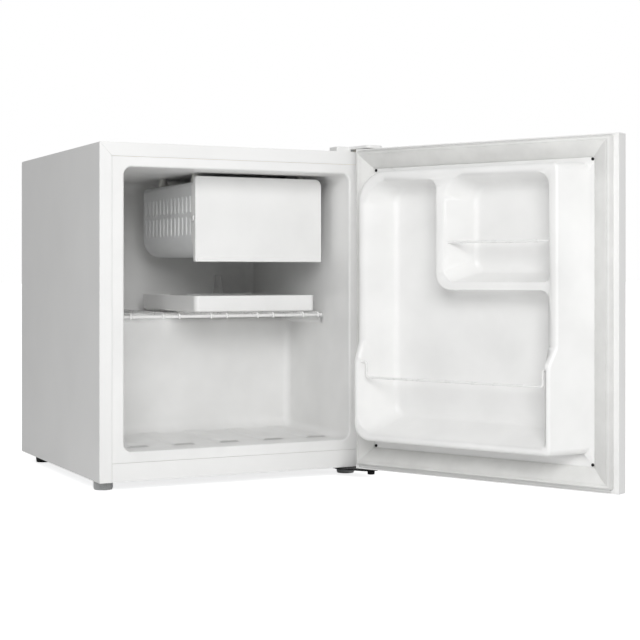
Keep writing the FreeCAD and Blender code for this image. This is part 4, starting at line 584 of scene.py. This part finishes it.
def build_cooling_box(sizes):
    """The wrapped aluminium sheet with two rows of pressed ribs on each side."""
    low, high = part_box("evaporator")
    channel = sizes.rib_rise
    low = Vector((low.x + channel, low.y, low.z))
    high = Vector((high.x - channel, high.y, high.z))
    work = bmesh.new()
    loops = []
    sheet, rolled = SHEET, SHEET_ROLL
    for y, inset in ((low.y + rolled, 0), (high.y - rolled, 0), (high.y, rolled), (high.y, sheet - rolled),
                     (high.y - rolled, sheet), (low.y + rolled, sheet), (low.y, sheet - rolled),
                     (low.y, rolled)):
        section = cooling_box_section(low, high, inset, BOX_LOW_ROUND, BOX_HIGH_ROUND)
        loops.append([work.verts.new((x, y, z)) for x, z in section])
    for first, second in zip(loops, loops[1:] + loops[:1]):
        count = len(first)
        for i in range(count):
            work.faces.new((first[i], first[(i + 1) % count], second[(i + 1) % count], second[i]))
    box = new_piece("cooling_box", mesh_of(work, "cooling_box"), rolled_aluminium)
    pitch = (high.y - low.y - 2 * RIB_MARGIN) / (sizes.rib_count - 1)
    height = high.z - low.z
    parts = [box]
    for face_x, way in ((low.x, Vector((-1, 0, 0))), (high.x, Vector((1, 0, 0)))):
        for start, end in RIB_ROWS:
            mesh = rib_mesh(sizes.rib_rise, sizes.rib_width, (end - start) * height, way)
            mesh.transform(Matrix.Translation((face_x, low.y + RIB_MARGIN, low.z + start * height)))
            parts.append(in_row("ribs", mesh, rolled_aluminium, sizes.rib_count, (0, pitch, 0)))
    stand_for(joined("cooling_box_sheet", parts), "evaporator")
    stand_in("evaporator_back", moulded_polystyrene, sizes.edge_ease)
    stand_in("freezer_frame", moulded_polystyrene)
    stand_in("evaporator_hangers", natural_acetal)
    stand_in("freezer_door", moulded_polystyrene)


# ---- shelf and tray -----------------------------------------------------------------------------
WIRE_RADIUS, RAIL_RADIUS, SIDE_RADIUS = 1.5 * MM, 2.5 * MM, 2.2 * MM
WELD_BITE = 0.4 * MM                        # how far a wire sinks into the rail it is welded to
SIDE_INSET, BACK_OVERHANG = 1.5 * MM, 2 * MM
FIRST_WIRE, PAIR_GAP, WIRE_SETS = 27 * MM, 52 * MM, 5
HOOK_DROP, HOOK_BEND = 7 * MM, 2.2 * MM     # where a wire turns down over the front rail


def build_shelf(sizes):
    """Coated wires in pairs that hook over the front rail, on three cross rails and two side bars."""
    low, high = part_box("wire_shelf")
    thin, thick, side = WIRE_RADIUS, RAIL_RADIUS, SIDE_RADIUS
    rail_z = high.z - 2 * thin - thick + WELD_BITE
    front, back = low.y + 2 * thin + thick - WELD_BITE, high.y - BACK_OVERHANG
    parts = []
    for y in (front, (front + back) / 2, back):
        mesh = rod_mesh("rail", [Vector((low.x, y, rail_z)), Vector((high.x, y, rail_z))], thick, 0, 16)
        parts.append(new_piece("rail", mesh, coated_wire))
    for x in (low.x + SIDE_INSET, high.x - SIDE_INSET):
        mesh = rod_mesh("side", [Vector((x, front, rail_z)), Vector((x, back, rail_z))], side, 0, 16)
        parts.append(new_piece("side", mesh, coated_wire))
    top = high.z - thin
    nose = low.y + thin
    first = low.x + FIRST_WIRE
    for start, count in ((first, WIRE_SETS), (first + PAIR_GAP, WIRE_SETS - 1)):
        wire = rod_mesh("wire", [Vector((start, high.y, top)), Vector((start, nose, top)),
                                 Vector((start, nose, top - HOOK_DROP))], thin, HOOK_BEND)
        parts.append(in_row("wires", wire, coated_wire, count, (sizes.shelf_pitch, 0, 0)))
    stand_for(joined("shelf_wires", parts), "wire_shelf")


def build_tray(sizes):
    stand_in("drip_tray", moulded_polystyrene, sizes.edge_ease)


# ---- door ---------------------------------------------------------------------------------------
SEAL_WIDTH = 28 * MM
SEAL_WELD, SEAL_SINK = 0.7 * MM, 0.35 * MM  # half width and depth of the groove along a corner's weld


def seal_profile(width, height):
    """Section of the seal: a flat magnet bar at its outer edge that falls to a thin inner lip."""
    points = [(0, 0), (0, 0.3), (0.04, 0.75), (0.07, 0.95), (0.12, 1), (0.2, 1), (0.22, 0.93), (0.24, 1),
              (0.3, 0.99), (0.45, 0.9), (0.7, 0.6), (0.9, 0.3), (0.985, 0.12), (1, 0)]
    return [(w * width, p * height) for w, p in points]


def build_gasket(sizes):
    """The seal's four mitred lengths, welded at the corners with a fine groove along each weld."""
    along, out, up = door_extent("door_gasket")
    width, weld, sink = SEAL_WIDTH, SEAL_WELD, SEAL_SINK
    profile = seal_profile(width, out[1] - out[0])
    middle_w, middle_p = width / 2, (out[1] - out[0]) / 2
    corners = ((0, 0), (1, 0), (1, 1), (0, 1))
    work = bmesh.new()

    def ring(corner, toward, shift, shrink):
        """One loop of the profile at a mitre, moved along the side it belongs to."""
        made = []
        for w, p in profile:
            w += (middle_w - w) * shrink / middle_w
            p += (middle_p - p) * shrink / middle_p if p > 0 else 0
            s = along[corner[0]] + w * (1 if corner[0] == 0 else -1) + toward[0] * shift
            z = up[corner[1]] + w * (1 if corner[1] == 0 else -1) + toward[1] * shift
            made.append(work.verts.new(door_place(s, out[0] + p, z)))
        return made

    for i, corner in enumerate(corners):
        other = corners[(i + 1) % 4]
        toward = (other[0] - corner[0], other[1] - corner[1])
        away = (-toward[0], -toward[1])
        loops = [ring(corner, toward, 0, sink), ring(corner, toward, weld, 0),
                 ring(other, away, weld, 0), ring(other, away, 0, sink)]
        for first, second in zip(loops, loops[1:]):
            count = len(first)
            for k in range(count):
                work.faces.new((first[k], first[(k + 1) % count], second[(k + 1) % count], second[k]))
    mesh = mesh_of(work, "door_seal")
    shade(mesh, 50)
    stand_for(new_piece("door_seal", mesh, soft_vinyl), "door_gasket")


def build_door(sizes):
    stand_in("door_skin", baked_enamel, sizes.edge_ease, 24)
    stand_in("door_top_cap", moulded_polystyrene, sizes.edge_ease)
    stand_in("door_bottom_cap", moulded_polystyrene, sizes.edge_ease)
    stand_in("door_liner", formed_polystyrene)
    repaint("door_foam", rigid_foam)
    stand_in("hinge_bushes", natural_acetal)
    for node in ("upper_rack_rod", "lower_rack_rail"):
        stand_in(node, coated_wire)


# ---- hardware -----------------------------------------------------------------------------------
def lathe(profile, steps):
    """A closed form turned about Z from (radius, height) points, both ends on the axis."""
    work = bmesh.new()
    rings = []
    for radius, z in profile:
        if radius == 0:
            rings.append([work.verts.new((0, 0, z))])
        else:
            rings.append([work.verts.new((radius * math.cos(math.tau * i / steps),
                                          radius * math.sin(math.tau * i / steps), z)) for i in range(steps)])
    for low, high in zip(rings, rings[1:]):
        for i in range(steps):
            j = (i + 1) % steps
            corners = [low[i % len(low)], low[j % len(low)], high[j % len(high)], high[i % len(high)]]
            work.faces.new(list(dict.fromkeys(corners)))
    return work


HEAD_RISE = 0.6             # height of a screw's head as a share of its radius


def screw_mesh(head, shank, length):
    """A pan-head screw with a cross recess; its head stands on Z = 0 and its shank hangs below."""
    rise = head * HEAD_RISE
    point = min(length * 0.2, 2 * MM)
    profile = [(0, rise), (head * 0.55, rise * 0.97), (head * 0.85, rise * 0.72), (head, rise * 0.25),
               (head * 0.98, 0), (shank, 0)]
    turns = 8
    for i in range(turns):
        z = -(length - point) * (i + 0.5) / turns
        profile += [(shank * 0.86, z), (shank, z - length * 0.02)]
    profile += [(shank * 0.86, -(length - point)), (0, -length)]
    body = bpy.data.objects.new("screw", mesh_of(lathe(profile, 20), "screw"))
    bpy.context.scene.collection.objects.link(body)
    cutters = []
    for turn in (0, 90):
        work = bmesh.new()
        bmesh.ops.create_cube(work, size=1)
        for vertex in work.verts:
            slim = 0.62 if vertex.co.z < 0 else 1.0
            vertex.co = Vector((vertex.co.x * head * 1.15 * slim, vertex.co.y * head * 0.26 * slim,
                                rise + vertex.co.z * rise * 0.95))
        bmesh.ops.rotate(work, verts=work.verts, matrix=Matrix.Rotation(math.radians(turn), 3, "Z"))
        cutter = bpy.data.objects.new("recess", mesh_of(work, "recess"))
        bpy.context.scene.collection.objects.link(cutter)
        cut = body.modifiers.new("recess", "BOOLEAN")
        cut.object = cutter
        cutters.append(cutter)
    settle(body)
    mesh = body.data
    for spent in cutters + [body]:
        bpy.data.objects.remove(spent)
    return mesh


def islands(node):
    """The low and high corners of each separate solid of a frame node, in order."""
    work = bmesh.new()
    work.from_mesh(frame["nodes"][node].data)
    bmesh.ops.remove_doubles(work, verts=work.verts, dist=WELD)
    left, found = set(work.verts), []
    while left:
        stack, seen = [left.pop()], []
        while stack:
            vertex = stack.pop()
            seen.append(vertex.co.copy())
            for edge in vertex.link_edges:
                other = edge.other_vert(vertex)
                if other in left:
                    left.remove(other)
                    stack.append(other)
        low = Vector(min(axis) for axis in zip(*seen))
        high = Vector(max(axis) for axis in zip(*seen))
        found.append((low, high))
    work.free()
    return sorted(found, key=lambda span: tuple(span[0]))


def build_screws(node, maker, head_way, name):
    """Detailed screws in place of a node's plain ones; head_way points out of the heads."""
    way = Vector(head_way)
    spans = islands(node)
    low, high = spans[0]
    size = high - low
    length = abs(size.dot(way))
    wide = min(value for value, axis in zip(size, way) if abs(axis) < 0.5) / 2
    mesh = screw_mesh(wide, wide * 0.5, length - wide * HEAD_RISE)
    turn = Vector((0, 0, 1)).rotation_difference(way).to_matrix().to_4x4()
    mesh.transform(turn)
    spots = []
    for low, high in spans:
        middle = (low + high) / 2
        spots.append(middle + way * (length / 2 - wide * HEAD_RISE))
    stand_for(on_spots(name, mesh, maker, spots), node)


def build_hinges(sizes):
    stand_in("top_hinge_bracket", zinc_plating, 0.2 * MM)
    stand_in("top_hinge_cover", moulded_polystyrene)
    stand_in("bottom_hinge_bracket", black_oxide, 0.2 * MM)
    stand_in("hinge_pin_bolt", black_oxide)
    build_screws("top_hinge_screws", zinc_plating, (0, 0, 1), "top_hinge_screws_set")
    build_screws("bottom_hinge_screws", black_oxide, (0, 0, -1), "bottom_hinge_screws_set")
    build_screws("evaporator_screws", zinc_plating, (0, 0, -1), "cooling_box_screws")
    build_screws("panel_screws", zinc_plating, (0, 1, 0), "panel_screws_set")
    stand_in("gasket_screws", black_oxide)


def build_feet(sizes):
    for node in ("front_left_foot", "front_right_foot"):
        stand_in(node, grey_polypropylene)
    stand_in("rear_feet", black_nylon)


# ---- compressor space ---------------------------------------------------------------------------
def build_machine(sizes):
    stand_in("compressor", black_enamel)
    stand_in("compressor_grommets", moulded_rubber)
    stand_in("compressor_bolts", zinc_plating)
    stand_in("relay_cover", black_nylon)
    for node in ("discharge_tube", "suction_tube", "dryer_filter", "capillary_tube"):
        stand_in(node, drawn_copper)
    stand_in("condensate_pan", black_nylon)
    stand_in("mains_gland", black_nylon)
    stand_in("thermostat_housing", moulded_polystyrene, 0.3 * MM)
    stand_in("thermostat_knob", moulded_polystyrene)


CONDENSER_RADIUS = 0.8 * MM


def build_condenser(sizes):
    """Upright wires on both faces of the serpentine."""
    stand_in("condenser_tube", black_enamel)
    stand_in("condenser_clips", black_nylon)
    low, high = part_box("condenser_wires")
    radius = CONDENSER_RADIUS
    step = (high.x - low.x - 2 * radius) / (sizes.condenser_wires - 1)
    parts = []
    for index, y in ((0, high.y - radius), (1, low.y + radius)):
        x = low.x + radius + index * step
        wire = rod_mesh("wire", [Vector((x, y, low.z)), Vector((x, y, high.z))], radius, 0, 8)
        parts.append(in_row("wires", wire, black_enamel, sizes.condenser_wires // 2, (2 * step, 0, 0)))
    stand_for(joined("condenser_wire_set", parts), "condenser_wires")


# ---- stage --------------------------------------------------------------------------------------
CAMERA_PLACE = (-0.9447, -1.9818, 0.316)
CAMERA_TURN = math.radians(26.55)           # to the right of straight ahead
LEVEL_SHIFT = -0.0731                       # the camera is level, and its frame reaches further down
FLOOR_HALF = 40.0
PAPER_LIFT = 0.8                            # the glow that turns the paper white for the camera
SKY_LIGHT = 0.37
# Name, place, point it faces, size in metres, and power in watts.
LIGHTS = (
    ("key_light", (-0.88, -2.08, 1.08), (0, 0, 0.26), (1.2, 0.9), 27),
    ("fill_light", (1.8, -2.4, 0.9), (0, 0, 0.25), (1.6, 1.4), 3),
    ("top_light", (0, -0.8, 3.0), (0, -0.1, 0.2), (2.4, 2.4), 10),
)


def area_light(name, place, target, size, power):
    light = bpy.data.lights.new(name, "AREA")
    light.shape = "RECTANGLE"
    light.size, light.size_y = size
    light.energy = power
    lamp = bpy.data.objects.new(name, light)
    lamp.location = place
    lamp.rotation_euler = (Vector(target) - Vector(place)).to_track_quat("-Z", "Y").to_euler()
    bpy.context.scene.collection.objects.link(lamp)


def studio_paper():
    """Pale paper, lifted to white for the camera only, so it doesn't light the object from below."""
    paper = surface("pale_studio_paper", ("#FCFCFC", "#FAFAFA"), (0.8, 0.9), (0.004, 0.00001),
                    **{"Emission Color": linear("#FFFFFF")})
    tree = paper.node_tree
    shader = next(node for node in tree.nodes if node.type == "BSDF_PRINCIPLED")
    seen = add(tree, "ShaderNodeLightPath").outputs["Is Camera Ray"]
    lift = add(tree, "ShaderNodeMath", {0: seen, 1: PAPER_LIFT}, operation="MULTIPLY")
    tree.links.new(lift.outputs[0], shader.inputs["Emission Strength"])
    return paper


def build_stage(sizes):
    scene = bpy.context.scene
    camera = bpy.data.objects.new("camera", bpy.data.cameras.new("camera"))
    camera.location = CAMERA_PLACE
    camera.rotation_euler = (math.radians(90), 0, -CAMERA_TURN)
    camera.data.lens = sizes.lens
    camera.data.shift_y = LEVEL_SHIFT
    scene.collection.objects.link(camera)
    scene.camera = camera
    scene.view_settings.view_transform = "Standard"
    half = FLOOR_HALF
    mesh = bpy.data.meshes.new("studio_floor")
    mesh.from_pydata([(-half, -half, 0), (half, -half, 0), (half, half, 0), (-half, half, 0)], [],
                     [(0, 1, 2, 3)])
    floor = bpy.data.objects.new("studio_floor", mesh)
    scene.collection.objects.link(floor)
    mesh.materials.append(studio_paper())
    for light in LIGHTS:
        area_light(*light)
    world = bpy.data.worlds.new("studio_white")
    world.use_nodes = True
    tree = world.node_tree
    tree.nodes.clear()
    seen = add(tree, "ShaderNodeLightPath").outputs["Is Camera Ray"]
    light = add(tree, "ShaderNodeBackground", {"Color": linear("#FFFFFF"), "Strength": SKY_LIGHT})
    backdrop = add(tree, "ShaderNodeBackground", {"Color": linear("#FFFFFF"), "Strength": 1.0})
    chosen = add(tree, "ShaderNodeMixShader", {0: seen, 1: light.outputs[0], 2: backdrop.outputs[0]})
    add(tree, "ShaderNodeOutputWorld", {"Surface": chosen.outputs[0]})
    scene.world = world


# ---- operators ----------------------------------------------------------------------------------
class FRIDGE_OT_stage(bpy.types.Operator):
    """Set the camera, the floor and the soft light"""
    bl_idname = "fridge.stage"
    bl_label = "Stage"

    def execute(self, context):
        build_stage(context.scene.fridge_sizes)
        return {"FINISHED"}


class FRIDGE_OT_case(bpy.types.Operator):
    """Finish the steel case, its liner and its foam"""
    bl_idname = "fridge.case"
    bl_label = "Case and liner"

    def execute(self, context):
        build_case(context.scene.fridge_sizes)
        return {"FINISHED"}


class FRIDGE_OT_cooling_box(bpy.types.Operator):
    """Build the ribbed cooling box, its trim and its flap"""
    bl_idname = "fridge.cooling_box"
    bl_label = "Cooling box"

    def execute(self, context):
        build_cooling_box(context.scene.fridge_sizes)
        return {"FINISHED"}


class FRIDGE_OT_shelf(bpy.types.Operator):
    """Build the coated wire shelf and the drip tray"""
    bl_idname = "fridge.shelf"
    bl_label = "Shelf and tray"

    def execute(self, context):
        build_shelf(context.scene.fridge_sizes)
        build_tray(context.scene.fridge_sizes)
        return {"FINISHED"}


class FRIDGE_OT_door(bpy.types.Operator):
    """Finish the door's panel, caps, liner and racks"""
    bl_idname = "fridge.door"
    bl_label = "Door"

    def execute(self, context):
        build_door(context.scene.fridge_sizes)
        return {"FINISHED"}


class FRIDGE_OT_gasket(bpy.types.Operator):
    """Build the welded door seal"""
    bl_idname = "fridge.gasket"
    bl_label = "Door seal"

    def execute(self, context):
        build_gasket(context.scene.fridge_sizes)
        return {"FINISHED"}


class FRIDGE_OT_hinges(bpy.types.Operator):
    """Build the hinges and every screw"""
    bl_idname = "fridge.hinges"
    bl_label = "Hinges and screws"

    def execute(self, context):
        build_hinges(context.scene.fridge_sizes)
        return {"FINISHED"}


class FRIDGE_OT_feet(bpy.types.Operator):
    """Finish the levelling feet and the rear feet"""
    bl_idname = "fridge.feet"
    bl_label = "Feet"

    def execute(self, context):
        build_feet(context.scene.fridge_sizes)
        return {"FINISHED"}


class FRIDGE_OT_machine(bpy.types.Operator):
    """Finish the compressor, its pipes and the thermostat"""
    bl_idname = "fridge.machine"
    bl_label = "Compressor space"

    def execute(self, context):
        build_machine(context.scene.fridge_sizes)
        return {"FINISHED"}


class FRIDGE_OT_condenser(bpy.types.Operator):
    """Build the wire condenser on the back"""
    bl_idname = "fridge.condenser"
    bl_label = "Condenser"

    def execute(self, context):
        build_condenser(context.scene.fridge_sizes)
        return {"FINISHED"}


OPERATORS = (FRIDGE_OT_stage, FRIDGE_OT_case, FRIDGE_OT_cooling_box, FRIDGE_OT_shelf, FRIDGE_OT_door,
             FRIDGE_OT_gasket, FRIDGE_OT_hinges, FRIDGE_OT_feet, FRIDGE_OT_machine, FRIDGE_OT_condenser)


class FRIDGE_PT_panel(bpy.types.Panel):
    """Sizes, colours and pieces of the refrigerator"""
    bl_idname = "FRIDGE_PT_panel"
    bl_label = "Refrigerator"
    bl_space_type = "VIEW_3D"
    bl_region_type = "UI"
    bl_category = "Refrigerator"

    def draw(self, context):
        for group in (context.scene.fridge_sizes, context.scene.fridge_colours):
            for name in group.__annotations__:
                self.layout.prop(group, name)
        for operator in OPERATORS:
            self.layout.operator(operator.bl_idname)


CLASSES = (FridgeSizes, FridgeColours) + OPERATORS + (FRIDGE_PT_panel,)


def register():
    for made in CLASSES:
        bpy.utils.register_class(made)
    bpy.types.Scene.fridge_sizes = bpy.props.PointerProperty(type=FridgeSizes)
    bpy.types.Scene.fridge_colours = bpy.props.PointerProperty(type=FridgeColours)


def unregister():
    del bpy.types.Scene.fridge_colours
    del bpy.types.Scene.fridge_sizes
    for made in reversed(CLASSES):
        bpy.utils.unregister_class(made)


def main():
    register()
    for operator in OPERATORS:
        group, name = operator.bl_idname.split(".")
        getattr(getattr(bpy.ops, group), name)()


if __name__ == "__main__":
    main()
